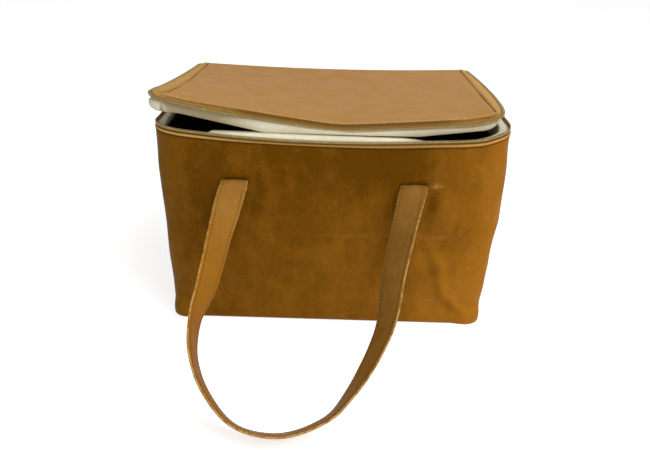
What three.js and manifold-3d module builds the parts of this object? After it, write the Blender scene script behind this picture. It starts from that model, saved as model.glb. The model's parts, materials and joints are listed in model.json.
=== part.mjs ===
// Cooler tote bag: a folded brown paper-leather body over foam, lined in white felt, with a
// padded lid that zips on three sides and two flat strap handles. The lid stands ajar and both
// handles lie down to the floor. Millimetres, +Z up, the front faces -Y, and the origin is the
// middle of the underside.
import * as THREE from "three";
import { mergeVertices } from "three/addons/utils/BufferGeometryUtils.js";
import Module from "manifold-3d";

const wasm = await Module();
wasm.setup();

// Body
const BODY_WIDTH = 330;
const BODY_DEPTH = 215;
const BODY_HEIGHT = 208; // to the tips of the rim's teeth
const BASE_NARROWING = 6; // the base is narrower than the rim by this
const RIM_CORNER_RADIUS = 32;
const BASE_CORNER_RADIUS = 28;
const FRONT_BOW = 13.7; // how far the middle of the front rim stands forward
const BOW_POWER = 1.2; // how the bow grows from the base to the rim
const FRONT_SAG = 6; // how far the middle of the front rim hangs

// Layers of the body, from outside in
const SHEET = 1.5; // outer paper-leather
const FOAM = 5;
const LINING = 0.8; // white felt
const GAP = 0.3; // between pieces that touch
const LINING_DROP = 3.2; // lining's upper edge below the teeth tips
const LINING_BOW = 4; // the lining's front runs straighter than the outer sheet

// Zip
const TAPE_THICKNESS = 1.2;
const RIM_TAPE_WIDTH = 5;
const TOOTH_HEIGHT = 2.4;
const TOOTH_ROOT = 1.1; // part of the tooth height that is solid coil
const TOOTH_THICKNESS = 1.6;
const TOOTH_PITCH = 5;
const TAPE_FACE_INSET = 0.1; // teeth behind the outer face of the body

// Lid
const LID_SIDE_INSET = 11; // edge of the lid from the side of the body
const LID_FRONT_INSET = 0.5;
const LID_FRONT_RADIUS = 14;
const LID_BACK_RADIUS = 3;
const LID_FRONT_BOW = 3;
const LID_SHIFT = -5.5; // the front edge has slid to the left
const LID_NARROWING = 0.03; // and curled a little narrower
const LID_BACK_RISE = 5.8; // top of the back edge above the teeth tips, at its middle
const LID_BACK_LIFT = 3.6; // its ends are higher by this
const LID_DIP_RISE = 5.8; // lowest point of the front edge above the teeth tips
const LID_DIP_X = 8;
const LID_DIP_SOFTNESS = 12;
const LID_LEFT_SLOPE = 0.16; // rise of the front edge on either side of its dip
const LID_RIGHT_SLOPE = 0.1;
const LID_CURL = 1.3; // how the warp grows from the back edge to the front
const LID_CLEARANCE = 0.4; // lid's pad above what it rests on
const PAD_FLAT_HALF = 69; // half the stretch of the pad that lies on the front rim
const PAD_LEFT_SLOPE = 0.22;
const PAD_RIGHT_SLOPE = 0.12;
const PAD_ROUNDING = 3; // rounded lower edge of the pad
const LID_TAPE_WIDTH = 4;
const SIDE_FLARE = 10; // degrees that the lid's tape droops at the sides
const FRONT_FLARE = 75; // and at the front

// Handles
const STRAP_WIDTH = 25;
const STRAP_THICKNESS = 2.5;
const SLIT_HEIGHT = 161.5;
const LEFT_SLIT_X = -88.6;
const RIGHT_SLIT_X = 75.6;
const TAIL_LENGTH = 35; // sewn end inside the wall
const SLIT_CLEARANCE = 0.5;
const SLIT_CUT_DEPTH = 12; // enough to pass through the sheet where it bows
const LOOP_SLOPE = 44.4; // degrees that the loops lie down from level

// Slider, on the left side of the rim
const SLIDER_LENGTH = 12;
const SLIDER_PLATE = 1.2;
const SLIDER_CLEARANCE = 0.3;
const SLIDER_RISE = 4.4; // height of the plates above the teeth tips
const SLIDER_BACK_DISTANCE = 41.5; // from the back of the body, with the bag open
const ARCH_LENGTH = 8;
const ARCH_RISE = 3;
const ARCH_BAR = 1;
const ARCH_WIDTH = 1.8;
const PULL_LENGTH = 24;
const PULL_WIDTH = 7;
const PULL_THICKNESS = 1.1;
const PULL_RIM = 1.5; // material round the eye of the pull
const PULL_EYE_LENGTH = 5;

// Facets
const HALF_BACK_STEPS = 4;
const CORNER_STEPS = 5;
const SIDE_STEPS = 4;
const FRONT_STEPS = 12;
const WALL_LEVELS = [0.3, 0.6, 0.85]; // shares of the height where every layer has a ring
const LID_RINGS = [0.72, 0.4];
const STRAP_STEP = 13;
const PULL_ARC_STEPS = 5;
const WELD_DISTANCE = 1e-4;

// Where the stretches of a loop of points start
const BACK_LEFT = HALF_BACK_STEPS;
const LEFT = BACK_LEFT + CORNER_STEPS;
const FRONT_LEFT = LEFT + SIDE_STEPS;
const FRONT = FRONT_LEFT + CORNER_STEPS;
const FRONT_RIGHT = FRONT + FRONT_STEPS;
const RIGHT = FRONT_RIGHT + CORNER_STEPS;
const BACK_RIGHT = RIGHT + SIDE_STEPS;
const BACK = BACK_RIGHT + CORNER_STEPS;
const LOOP_POINTS = BACK + HALF_BACK_STEPS;
const HALF_CORNER = Math.floor(CORNER_STEPS / 2);

// Places worked out from the sizes
const BASE_WIDTH = BODY_WIDTH - BASE_NARROWING;
const LINING_TOP = BODY_HEIGHT - LINING_DROP;
const FOAM_OUTER = SHEET + GAP;
const FOAM_INNER = FOAM_OUTER + FOAM;
const LINING_OUTER = FOAM_INNER + GAP;
const LINING_INNER = LINING_OUTER + LINING;
const FLANGE_EDGE = SHEET + 2 * GAP;
const FLOOR_FOAM_Z = SHEET + GAP;
const WALL_FOAM_Z = FLOOR_FOAM_Z + FOAM + GAP;
const TAPE_TOP_DROP = TOOTH_HEIGHT + GAP;
const TAPE_FOOT_DROP = TAPE_TOP_DROP + RIM_TAPE_WIDTH;
const WALL_TOP_DROP = TAPE_FOOT_DROP + GAP;
const LID_WIDTH = BODY_WIDTH - 2 * LID_SIDE_INSET;
const LID_BACK = BODY_DEPTH / 2;
const LID_FRONT = LID_FRONT_INSET - BODY_DEPTH / 2;
const LID_LENGTH = LID_BACK - LID_FRONT;
const PAD_BACK_HEIGHT = BODY_HEIGHT + LID_CLEARANCE;
const PAD_FRONT_HEIGHT = LINING_TOP + LID_CLEARANCE;
const SLIT_HALF = STRAP_THICKNESS / 2 + SLIT_CLEARANCE;
const AXIS_OFFSET = STRAP_THICKNESS / 2 + GAP; // a handle's axis to the wall's face
const SLIDER_REST_Y = BODY_DEPTH / 2 - SLIDER_BACK_DISTANCE;

const KRAFT = new THREE.MeshStandardMaterial({ color: 0x8a5a20, roughness: 0.6 });
const KRAFT_LIGHT = new THREE.MeshStandardMaterial({ color: 0xb98a50, roughness: 0.62 });
const STRAP = new THREE.MeshStandardMaterial({ color: 0xa06c30, roughness: 0.65 });
const TAPE = new THREE.MeshStandardMaterial({ color: 0xcdaa66, roughness: 0.8 });
const TEETH = new THREE.MeshStandardMaterial({ color: 0x8f7f4a, roughness: 0.5 });
const FELT = new THREE.MeshStandardMaterial({ color: 0xe9e4d8, roughness: 0.95 });
const WADDING = new THREE.MeshStandardMaterial({ color: 0xf4f4f2, roughness: 0.9 });
const METAL = new THREE.MeshStandardMaterial({ color: 0xa08a58, roughness: 0.35, metalness: 0.9 });

const { lerp, degToRad, smoothstep } = THREE.MathUtils;
const vec = (x, y, z) => new THREE.Vector3(x, y, z);

// A closed mesh from points and triangles, turned so that its faces point out.
function closedMesh(points, triangles) {
  let volume = 0;
  for (const [a, b, c] of triangles) {
    volume += points[a].dot(points[b].clone().cross(points[c]));
  }
  const faces = volume < 0 ? triangles.map(([a, b, c]) => [a, c, b]) : triangles;
  return new THREE.BufferGeometry()
    .setFromPoints(points)
    .setIndex(faces.flat());
}

// Triangles over one flat or nearly flat polygon, in the order of its points.
function coverPolygon(points) {
  const normal = vec(0, 0, 0);
  points.forEach((p, k) => normal.add(p.clone().cross(points[(k + 1) % points.length])));
  normal.normalize();
  const across = points[1].clone().sub(points[0]).normalize();
  const up = normal.clone().cross(across);
  const flat = points.map((p) => new THREE.Vector2(p.dot(across), p.dot(up)));
  const area = (a, b, c) => (b.x - a.x) * (c.y - a.y) - (b.y - a.y) * (c.x - a.x);
  return THREE.ShapeUtils.triangulateShape(flat, []).map(([a, b, c]) =>
    area(flat[a], flat[b], flat[c]) < 0 ? [a, c, b] : [a, b, c],
  );
}

// Two triangles over four corners, split along the shorter diagonal so that layers that lie on
// each other split alike.
function splitQuad(points, a, b, c, d) {
  const even = points[a].distanceTo(points[c]);
  const odd = points[b].distanceTo(points[d]);
  return even < odd ? [[a, b, c], [a, c, d]] : [[a, b, d], [b, c, d]];
}

// A solid through a row of polygons that have the same number of points.
function loft(sections, closed = false) {
  const size = sections[0].length;
  const count = sections.length;
  const points = sections.flat();
  const triangles = [];
  for (let j = 0; j < (closed ? count : count - 1); j++) {
    const here = j * size;
    const next = ((j + 1) % count) * size;
    for (let k = 0; k < size; k++) {
      const k2 = (k + 1) % size;
      triangles.push(...splitQuad(points, here + k, here + k2, next + k2, next + k));
    }
  }
  if (!closed) {
    const last = (count - 1) * size;
    coverPolygon(sections[0]).forEach(([a, b, c]) => triangles.push([a, c, b]));
    coverPolygon(sections[count - 1]).forEach(([a, b, c]) =>
      triangles.push([last + a, last + b, last + c]),
    );
  }
  return closedMesh(points, triangles);
}

// Lines that run along the object, turned into the polygons that cross them.
const crossSections = (lines) => lines[0].map((_, i) => lines.map((line) => line[i]));

function toSolid(geometry) {
  const plain = geometry.index ? geometry.toNonIndexed() : geometry.clone();
  plain.deleteAttribute("normal");
  plain.deleteAttribute("uv");
  const merged = mergeVertices(plain, WELD_DISTANCE);
  return new wasm.Manifold(
    new wasm.Mesh({
      numProp: 3,
      vertProperties: merged.attributes.position.array,
      triVerts: new Uint32Array(merged.index.array),
    }),
  );
}

function toGeometry(solid) {
  const { vertProperties, triVerts } = solid.getMesh();
  return new THREE.BufferGeometry()
    .setAttribute("position", new THREE.BufferAttribute(vertProperties, 3))
    .setIndex(new THREE.BufferAttribute(triVerts, 1));
}

function cutAway(geometry, cutters) {
  let solid = toSolid(geometry);
  for (const cutter of cutters) {
    solid = solid.subtract(toSolid(cutter));
  }
  return toGeometry(solid);
}

// Points round a rectangle with rounded corners, each with its outward direction. They start
// at the middle of the back and go round by the left side.
function roundedLoop({ halfWidth, back, front, backRadius, frontRadius }) {
  const points = [];
  const straight = (x0, y0, x1, y1, nx, ny, steps) => {
    for (let i = 0; i < steps; i++) {
      points.push({ x: lerp(x0, x1, i / steps), y: lerp(y0, y1, i / steps), nx, ny });
    }
  };
  const corner = (x, y, radius, start) => {
    for (let i = 0; i < CORNER_STEPS; i++) {
      const angle = start + (Math.PI / 2) * (i / CORNER_STEPS);
      const nx = Math.cos(angle);
      const ny = Math.sin(angle);
      points.push({ x: x + radius * nx, y: y + radius * ny, nx, ny });
    }
  };
  const backX = halfWidth - backRadius;
  const frontX = halfWidth - frontRadius;
  const backY = back - backRadius;
  const frontY = front + frontRadius;
  straight(0, back, -backX, back, 0, 1, HALF_BACK_STEPS);
  corner(-backX, backY, backRadius, Math.PI / 2);
  straight(-halfWidth, backY, -halfWidth, frontY, -1, 0, SIDE_STEPS);
  corner(-frontX, frontY, frontRadius, Math.PI);
  straight(-frontX, front, frontX, front, 0, -1, FRONT_STEPS);
  corner(frontX, frontY, frontRadius, 1.5 * Math.PI);
  straight(halfWidth, frontY, halfWidth, backY, 1, 0, SIDE_STEPS);
  corner(backX, backY, backRadius, 0);
  straight(backX, back, 0, back, 0, 1, HALF_BACK_STEPS);
  return points;
}

// How much of the front's bow and sag a place along X has, from 0 at the corners to 1.
const middleness = (x) => Math.max(0, 1 - ((2 * x) / BODY_WIDTH) ** 2);

// The front or back face of a layer of the wall (side -1 or 1).
function wallY(side, x, z, inset) {
  const halfDepth = BODY_DEPTH / 2 - inset;
  const bow = side < 0 ? FRONT_BOW * middleness(x) * (z / BODY_HEIGHT) ** BOW_POWER : 0;
  return side * (halfDepth + (bow * halfDepth) / (BODY_DEPTH / 2));
}

// A line round the body. The height is a function of the local height of the rim.
function bodyLine(inset, height, bow = FRONT_BOW) {
  const share = height(BODY_HEIGHT) / BODY_HEIGHT;
  const halfDepth = BODY_DEPTH / 2 - inset;
  const radius = lerp(BASE_CORNER_RADIUS, RIM_CORNER_RADIUS, share) - inset;
  const loop = roundedLoop({
    halfWidth: lerp(BASE_WIDTH, BODY_WIDTH, share) / 2 - inset,
    back: halfDepth,
    front: -halfDepth,
    backRadius: radius,
    frontRadius: radius,
  });
  return loop.map(({ x, y }) => {
    const forward = Math.max(0, -y / halfDepth);
    const rim = BODY_HEIGHT - FRONT_SAG * middleness(x) * forward ** 2;
    const push = (bow * middleness(x) * share ** BOW_POWER) / (BODY_DEPTH / 2);
    return vec(x, y < 0 ? y * (1 + push) : y, height(rim));
  });
}

// Lines up one face of a wall, from a floor height to a top that follows the rim.
const wallFace = (inset, floor, top, bow) => [
  bodyLine(inset, () => floor, bow),
  ...WALL_LEVELS.map((level) => bodyLine(inset, (rim) => rim * level, bow)),
  bodyLine(inset, top, bow),
];

// A flat plate that fills the body's outline between two heights.
const plate = (inset, from, to) =>
  loft([bodyLine(inset, () => from), bodyLine(inset, () => to)]);

// The solid of one sewn strap end: a stub through the slit and a tail behind the sheet. With a
// margin and a nearer face it is the pocket that the tail lies in.
function strapTail(side, centreX, axisY, margin = 0, near = FOAM_OUTER) {
  const half = STRAP_WIDTH / 2 + margin;
  const top = SLIT_HEIGHT + STRAP_THICKNESS / 2 + margin;
  const under = SLIT_HEIGHT - STRAP_THICKNESS / 2 - margin;
  const foot = SLIT_HEIGHT - TAIL_LENGTH - margin;
  const outside = axisY - side * AXIS_OFFSET;
  const far = FOAM_OUTER + STRAP_THICKNESS + margin;
  const sections = [-half, 0, half].map((offset) => {
    const x = centreX + offset;
    return [
      vec(x, outside, top),
      vec(x, wallY(side, x, top, far), top),
      vec(x, wallY(side, x, foot, far), foot),
      vec(x, wallY(side, x, foot, near), foot),
      vec(x, wallY(side, x, under, near), under),
      vec(x, outside, under),
    ];
  });
  return loft(sections);
}

// A handle's axis lies clear of the wall at both of its slits.
function handleAxisY(side) {
  const reach = [LEFT_SLIT_X, RIGHT_SLIT_X].flatMap((x) =>
    [-STRAP_WIDTH / 2, 0, STRAP_WIDTH / 2].map((d) =>
      Math.abs(wallY(side, x + d, SLIT_HEIGHT + SLIT_HALF, 0)),
    ),
  );
  return side * (Math.max(...reach) + AXIS_OFFSET);
}

// The route of a handle: across the body, down the slope of the loop, and the twist of the
// strap in degrees, which turns its front towards the inside of the loop.
const HANDLE_ROUTE = [
  [LEFT_SLIT_X, 0, 0],
  [-97.8, 49, 50],
  [-105.5, 97, 61],
  [-112.5, 127, 79],
  [-110, 160, 87],
  [-94, 191, 88],
  [-71, 211.5, 90],
  [-33, 217, 85],
  [2.5, 203, 82],
  [18, 186.5, 75],
  [31, 167, 66],
  [49, 128, 55],
  [56.5, 80, 44],
  [68.5, 28, 33],
  [RIGHT_SLIT_X, 0, 0],
];

function handle(side) {
  const axisY = handleAxisY(side);
  const slope = degToRad(LOOP_SLOPE);
  const down = vec(0, side * Math.cos(slope), -Math.sin(slope));
  const face = vec(0, side * Math.sin(slope), Math.cos(slope));
  const start = vec(0, axisY, SLIT_HEIGHT);
  const place = ([x, along]) => vec(x, 0, 0).add(start).addScaledVector(down, along);
  const route = new THREE.CatmullRomCurve3(HANDLE_ROUTE.map(place), false, "centripetal");
  const twists = HANDLE_ROUTE.map(([, , twist]) => degToRad(twist));
  const steps = Math.round(route.getLength() / STRAP_STEP);
  const sections = [];
  for (let i = 0; i <= steps; i++) {
    const t = route.getUtoTmapping(i / steps);
    const knot = Math.min(Math.floor(t * (twists.length - 1)), twists.length - 2);
    const twist = lerp(twists[knot], twists[knot + 1], t * (twists.length - 1) - knot);
    const point = route.getPoint(t);
    const along = route.getTangent(t);
    if (i === 0) along.copy(down);
    if (i === steps) along.copy(down).negate();
    const inward = along.clone().cross(face).multiplyScalar(side);
    const front = face.clone().multiplyScalar(Math.cos(twist));
    front.addScaledVector(inward, Math.sin(twist));
    const edge = along.clone().cross(front).normalize();
    const corner = (w, f) =>
      point
        .clone()
        .addScaledVector(edge, (w * STRAP_WIDTH) / 2)
        .addScaledVector(front, (f * STRAP_THICKNESS) / 2);
    sections.push([corner(-1, -1), corner(1, -1), corner(1, 1), corner(-1, 1)]);
  }
  return loft(sections);
}

// A toothed strip between a line of roots and a line of tips, with one point per pitch.
function toothStrip(full, short) {
  const lengths = [0];
  for (let i = 1; i < full.length; i++) {
    lengths.push(lengths[i - 1] + full[i][0].distanceTo(full[i - 1][0]));
  }
  const total = lengths[lengths.length - 1];
  const count = 2 * Math.round(total / TOOTH_PITCH);
  const at = (sections, distance) => {
    let i = 1;
    while (i < lengths.length - 1 && lengths[i] < distance) i++;
    const share = (distance - lengths[i - 1]) / (lengths[i] - lengths[i - 1]);
    return sections[i].map((p, k) => sections[i - 1][k].clone().lerp(p, share));
  };
  const sections = [];
  for (let j = 0; j <= count; j++) {
    sections.push(at(j % 2 ? full : short, (total * j) / count));
  }
  return loft(sections);
}

function outerWall() {
  const top = (rim) => rim - WALL_TOP_DROP;
  const lines = [...wallFace(0, 0, top), ...wallFace(SHEET, 0, top).reverse()];
  const width = STRAP_WIDTH + 2 * SLIT_CLEARANCE;
  const slits = [-1, 1].flatMap((side) =>
    [LEFT_SLIT_X, RIGHT_SLIT_X].map((x) => {
      const y = wallY(side, x, SLIT_HEIGHT, SHEET / 2);
      const cutter = new THREE.BoxGeometry(width, SLIT_CUT_DEPTH, 2 * SLIT_HALF);
      return cutter.translate(x, y, SLIT_HEIGHT);
    }),
  );
  return cutAway(loft(crossSections(lines), true), slits);
}

// A polygon moved by the gap towards the next one in its row.
const setBack = (polygon, next) =>
  polygon.map((p, k) => p.clone().lerp(next[k], GAP / p.distanceTo(next[k])));

// One foam panel, between two places on the loop of points.
function foamPanel(from, to, cutters) {
  const outerTop = (rim) => rim - LINING_DROP - LINING - GAP;
  const innerTop = () => LINING_TOP - LINING - GAP;
  const lines = [
    ...wallFace(FOAM_OUTER, WALL_FOAM_Z, outerTop),
    ...wallFace(FOAM_INNER, WALL_FOAM_Z, innerTop, LINING_BOW).reverse(),
  ];
  const around = crossSections(lines);
  const sections = [];
  for (let i = from; i <= to; i++) {
    sections.push(around[i % LOOP_POINTS]);
  }
  sections[0] = setBack(sections[0], sections[1]);
  return cutAway(loft(sections), cutters);
}

// The felt lining of the walls, with a flange that covers the foam up to the zip tape.
function liningWall() {
  const outer = wallFace(LINING_OUTER, WALL_FOAM_Z, () => LINING_TOP - LINING, LINING_BOW);
  const inner = wallFace(LINING_INNER, WALL_FOAM_Z, () => LINING_TOP, LINING_BOW);
  const flange = [
    bodyLine(FLANGE_EDGE, (rim) => rim - LINING_DROP - LINING),
    bodyLine(FLANGE_EDGE, (rim) => rim - LINING_DROP),
  ];
  return loft(crossSections([...outer, ...flange, ...inner.reverse()]), true);
}

const ZIP_START = BACK_LEFT + HALF_CORNER;
const ZIP_END = BACK_RIGHT + CORNER_STEPS - HALF_CORNER;

// A strip round the rim over part of the loop, between two insets and two drops.
function rimStrip(from, to, outer, inner, top, foot) {
  const lines = [
    bodyLine(outer, (rim) => rim - foot),
    bodyLine(outer, (rim) => rim - top),
    bodyLine(inner, (rim) => rim - top),
    bodyLine(inner, (rim) => rim - foot),
  ];
  const around = crossSections(lines);
  const sections = [];
  for (let i = from; i <= to; i++) {
    sections.push(around[i % LOOP_POINTS]);
  }
  return sections;
}

const rimTape = () =>
  loft(rimStrip(ZIP_START, ZIP_END, 0, SHEET, TAPE_TOP_DROP, TAPE_FOOT_DROP));

function rimTeeth() {
  const inner = TAPE_FACE_INSET + TOOTH_THICKNESS;
  const strip = (top) => rimStrip(ZIP_START, ZIP_END, TAPE_FACE_INSET, inner, top, TOOTH_HEIGHT);
  return toothStrip(strip(0), strip(TOOTH_HEIGHT - TOOTH_ROOT));
}

// The back of the rim, where the outer sheet folds over into the lid.
function hingeBand() {
  const sections = rimStrip(ZIP_END, ZIP_START + LOOP_POINTS, 0, SHEET, 0, TAPE_FOOT_DROP);
  const last = sections.length - 1;
  sections[0] = setBack(sections[0], sections[1]);
  sections[last] = setBack(sections[last], sections[last - 1]);
  return loft(sections);
}

// The lid's outline, set in by a margin, with the skew of its warped front.
function lidLoop(inset) {
  const loop = roundedLoop({
    halfWidth: LID_WIDTH / 2 - inset,
    back: LID_BACK - inset,
    front: LID_FRONT + inset,
    backRadius: LID_BACK_RADIUS,
    frontRadius: LID_FRONT_RADIUS,
  });
  return loop.map((p) => {
    const share = (LID_BACK - p.y) / LID_LENGTH;
    const bow = LID_FRONT_BOW * Math.max(0, 1 - ((2 * p.x) / LID_WIDTH) ** 2) * share ** 2;
    return {
      ...p,
      x: p.x * (1 - LID_NARROWING * share) + LID_SHIFT * share,
      y: p.y - bow,
    };
  });
}

const besideDip = (x, left, right) => (x < LID_DIP_X ? left : right);

// A height over the lid, between its back edge and its front edge.
function lidHeight(y, back, front) {
  const share = Math.min(1, Math.max(0, (LID_BACK - y) / LID_LENGTH));
  return lerp(back, front, share ** LID_CURL);
}

// The top face of the lid.
function lidTop(x, y) {
  const away = Math.hypot(x - LID_DIP_X, LID_DIP_SOFTNESS) - LID_DIP_SOFTNESS;
  const front = BODY_HEIGHT + LID_DIP_RISE + besideDip(x, LID_LEFT_SLOPE, LID_RIGHT_SLOPE) * away;
  const back = BODY_HEIGHT + LID_BACK_RISE + LID_BACK_LIFT * ((2 * x) / LID_WIDTH) ** 2;
  return lidHeight(y, back, front);
}

// The underside of the lid's pad.
function padBottom(x, y) {
  const away = Math.max(0, Math.abs(x - LID_DIP_X) - PAD_FLAT_HALF);
  const front = PAD_FRONT_HEIGHT + besideDip(x, PAD_LEFT_SLOPE, PAD_RIGHT_SLOPE) * away;
  return lidHeight(y, PAD_BACK_HEIGHT, front);
}

// Rings of points that close a surface over the lid, from an outline to its middle.
function lidSurface(outline, height) {
  const middle = { x: LID_SHIFT / 2, y: (LID_BACK + LID_FRONT) / 2 };
  const onSurface = ({ x, y }) => vec(x, y, height(x, y));
  const rings = [1, ...LID_RINGS].map((share) =>
    outline.map((p) =>
      onSurface({ x: lerp(middle.x, p.x, share), y: lerp(middle.y, p.y, share) }),
    ),
  );
  return { rings, middle: onSurface(middle) };
}

// A closed solid from a stack of rings that starts and ends in a middle point.
function closedStack(start, rings, end) {
  const size = rings[0].length;
  const points = [start, ...rings.flat(), end];
  const last = points.length - 1;
  const triangles = [];
  for (let k = 0; k < size; k++) {
    const k2 = (k + 1) % size;
    triangles.push([0, 1 + k2, 1 + k]);
    for (let r = 0; r < rings.length - 1; r++) {
      const a = 1 + r * size;
      const b = a + size;
      triangles.push(...splitQuad(points, a + k, a + k2, b + k2, b + k));
    }
    const a = 1 + (rings.length - 1) * size;
    triangles.push([a + k, a + k2, last]);
  }
  return closedMesh(points, triangles);
}

// A sheet or pad in the lid, between two surfaces.
function lidLayer(inset, topHeight, bottomHeight) {
  const outline = lidLoop(inset);
  const top = lidSurface(outline, topHeight);
  const bottom = lidSurface(outline, bottomHeight);
  return closedStack(top.middle, [...top.rings.reverse(), ...bottom.rings], bottom.middle);
}

const lidPanel = () => lidLayer(0, lidTop, (x, y) => lidTop(x, y) - SHEET);

const liningEdge = (x, y) => lidTop(x, y) - SHEET - GAP;

function lidFoam() {
  const floor = (x, y) => padBottom(x, y) + LINING + GAP;
  return lidLayer(LINING + PAD_ROUNDING, liningEdge, floor);
}

// The felt under the lid: a shallow tray with an upright wall.
function lidLining() {
  const outline = lidLoop(0);
  const inside = lidLoop(LINING);
  const rise = Math.min(PAD_ROUNDING, LINING + GAP);
  const onFace = (loop, height) => loop.map(({ x, y }) => vec(x, y, height(x, y)));
  const floor = lidSurface(lidLoop(LINING + PAD_ROUNDING), (x, y) => padBottom(x, y) + LINING);
  const under = lidSurface(lidLoop(PAD_ROUNDING), padBottom);
  const rings = [
    ...floor.rings.reverse(),
    onFace(inside, (x, y) => padBottom(x, y) + LINING + rise),
    onFace(inside, liningEdge),
    onFace(outline, liningEdge),
    onFace(outline, (x, y) => padBottom(x, y) + rise),
    ...under.rings,
  ];
  return closedStack(floor.middle, rings, under.middle);
}

// Polygons across the lid's tape or teeth, which leave the panel's edge at a slant that goes
// from nearly level at the sides to nearly upright at the front.
function lidStrip(near, far, thickness) {
  return lidLoop(0)
    .slice(LEFT, BACK_RIGHT + 1)
    .map(({ x, y, nx, ny }) => {
      const flare = degToRad(lerp(SIDE_FLARE, FRONT_FLARE, smoothstep(-ny, 0, 1)));
      const outward = vec(nx, ny, 0);
      const along = outward.clone().multiplyScalar(Math.cos(flare));
      along.z -= Math.sin(flare);
      const face = outward.clone().multiplyScalar(Math.sin(flare));
      face.z += Math.cos(flare);
      const root = vec(x, y, lidTop(x, y) - TAPE_THICKNESS).addScaledVector(outward, GAP);
      const at = (distance, height) =>
        root.clone().addScaledVector(along, distance).addScaledVector(face, height);
      return [at(near, 0), at(far, 0), at(far, thickness), at(near, thickness)];
    });
}

const lidTape = () => loft(lidStrip(0, LID_TAPE_WIDTH, TAPE_THICKNESS));

function lidTeeth() {
  const root = LID_TAPE_WIDTH + GAP;
  const strip = (height) => lidStrip(root, root + height, TAPE_THICKNESS);
  return toothStrip(strip(TOOTH_HEIGHT), strip(TOOTH_ROOT));
}

// Faces of the slider's two plates, either side of the rim's teeth. The slider is worked out
// for the right side and mirrored.
const TEETH_OUTER_X = BODY_WIDTH / 2 - TAPE_FACE_INSET;
const TEETH_INNER_X = TEETH_OUTER_X - TOOTH_THICKNESS;
const PLATE_OUTER_X = BODY_WIDTH / 2 + SLIDER_CLEARANCE;
const PLATE_INNER_X = TEETH_INNER_X - SLIDER_CLEARANCE;
const PULL_AXIS_X = PLATE_OUTER_X + SLIDER_PLATE + SLIDER_CLEARANCE + PULL_THICKNESS / 2;
const SLIDER_MIDDLE_Z = BODY_HEIGHT + SLIDER_PLATE / 2 + SLIDER_CLEARANCE;

// The slider: two plates joined over the teeth, and an arch that holds the pull.
function slider() {
  const top = BODY_HEIGHT + SLIDER_RISE;
  const outerFoot = BODY_HEIGHT - TOOTH_HEIGHT - SLIDER_PLATE;
  const innerFoot = LINING_TOP + SLIDER_CLEARANCE;
  const barFoot = SLIDER_MIDDLE_Z - SLIDER_PLATE / 2;
  const barTop = SLIDER_MIDDLE_Z + SLIDER_PLATE / 2;
  const profile = new THREE.Shape([
    new THREE.Vector2(PLATE_OUTER_X + SLIDER_PLATE, outerFoot),
    new THREE.Vector2(PLATE_OUTER_X + SLIDER_PLATE, top),
    new THREE.Vector2(PLATE_OUTER_X, top),
    new THREE.Vector2(PLATE_OUTER_X, barTop),
    new THREE.Vector2(PLATE_INNER_X, barTop),
    new THREE.Vector2(PLATE_INNER_X, top),
    new THREE.Vector2(PLATE_INNER_X - SLIDER_PLATE, top),
    new THREE.Vector2(PLATE_INNER_X - SLIDER_PLATE, innerFoot),
    new THREE.Vector2(PLATE_INNER_X, innerFoot),
    new THREE.Vector2(PLATE_INNER_X, barFoot),
    new THREE.Vector2(PLATE_OUTER_X, barFoot),
    new THREE.Vector2(PLATE_OUTER_X, outerFoot),
  ]);
  const plates = new THREE.ExtrudeGeometry(profile, { depth: SLIDER_LENGTH, bevelEnabled: false })
    .rotateX(Math.PI / 2)
    .translate(0, SLIDER_REST_Y + SLIDER_LENGTH / 2, 0);
  return toGeometry(toSolid(plates).add(toSolid(sliderArch())).mirror([1, 0, 0]));
}

// The arch stands on the outer plate, with its feet sunk a little into it.
function sliderArch() {
  const foot = PLATE_OUTER_X + SLIDER_PLATE / 2;
  const crown = PLATE_OUTER_X + SLIDER_PLATE + ARCH_RISE;
  const half = ARCH_LENGTH / 2;
  const profile = new THREE.Shape([
    new THREE.Vector2(foot, -half),
    new THREE.Vector2(crown - ARCH_BAR, -half),
    new THREE.Vector2(crown, -half + ARCH_BAR),
    new THREE.Vector2(crown, half - ARCH_BAR),
    new THREE.Vector2(crown - ARCH_BAR, half),
    new THREE.Vector2(foot, half),
    new THREE.Vector2(foot, half - ARCH_BAR),
    new THREE.Vector2(crown - ARCH_BAR, half - ARCH_BAR),
    new THREE.Vector2(crown - ARCH_BAR, -half + ARCH_BAR),
    new THREE.Vector2(foot, -half + ARCH_BAR),
  ]);
  return new THREE.ExtrudeGeometry(profile, { depth: ARCH_WIDTH, bevelEnabled: false })
    .translate(0, SLIDER_REST_Y, SLIDER_MIDDLE_Z - ARCH_WIDTH / 2);
}

// The pull: a flat tab whose eye goes round one leg of the arch.
function pull() {
  const half = PULL_WIDTH / 2;
  const bar = PULL_THICKNESS;
  const outline = new THREE.Shape();
  outline.moveTo(-half, bar / 2);
  outline.lineTo(-half, -PULL_LENGTH + half);
  outline.absarc(0, -PULL_LENGTH + half, half, Math.PI, 2 * Math.PI);
  outline.lineTo(half, bar / 2);
  const eye = new THREE.Path();
  const eyeHalf = half - PULL_RIM;
  eye.moveTo(-eyeHalf, -bar / 2);
  eye.lineTo(eyeHalf, -bar / 2);
  eye.lineTo(eyeHalf, -bar / 2 - PULL_EYE_LENGTH);
  eye.lineTo(-eyeHalf, -bar / 2 - PULL_EYE_LENGTH);
  outline.holes.push(eye);
  return new THREE.ExtrudeGeometry(outline, {
    depth: PULL_THICKNESS,
    bevelEnabled: false,
    curveSegments: PULL_ARC_STEPS,
  })
    .translate(0, 0, -PULL_THICKNESS / 2)
    .rotateY(Math.PI / 2);
}

function named(name, geometry, material, parent) {
  const mesh = new THREE.Mesh(geometry, material);
  mesh.name = name;
  parent.add(mesh);
  return mesh;
}

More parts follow.
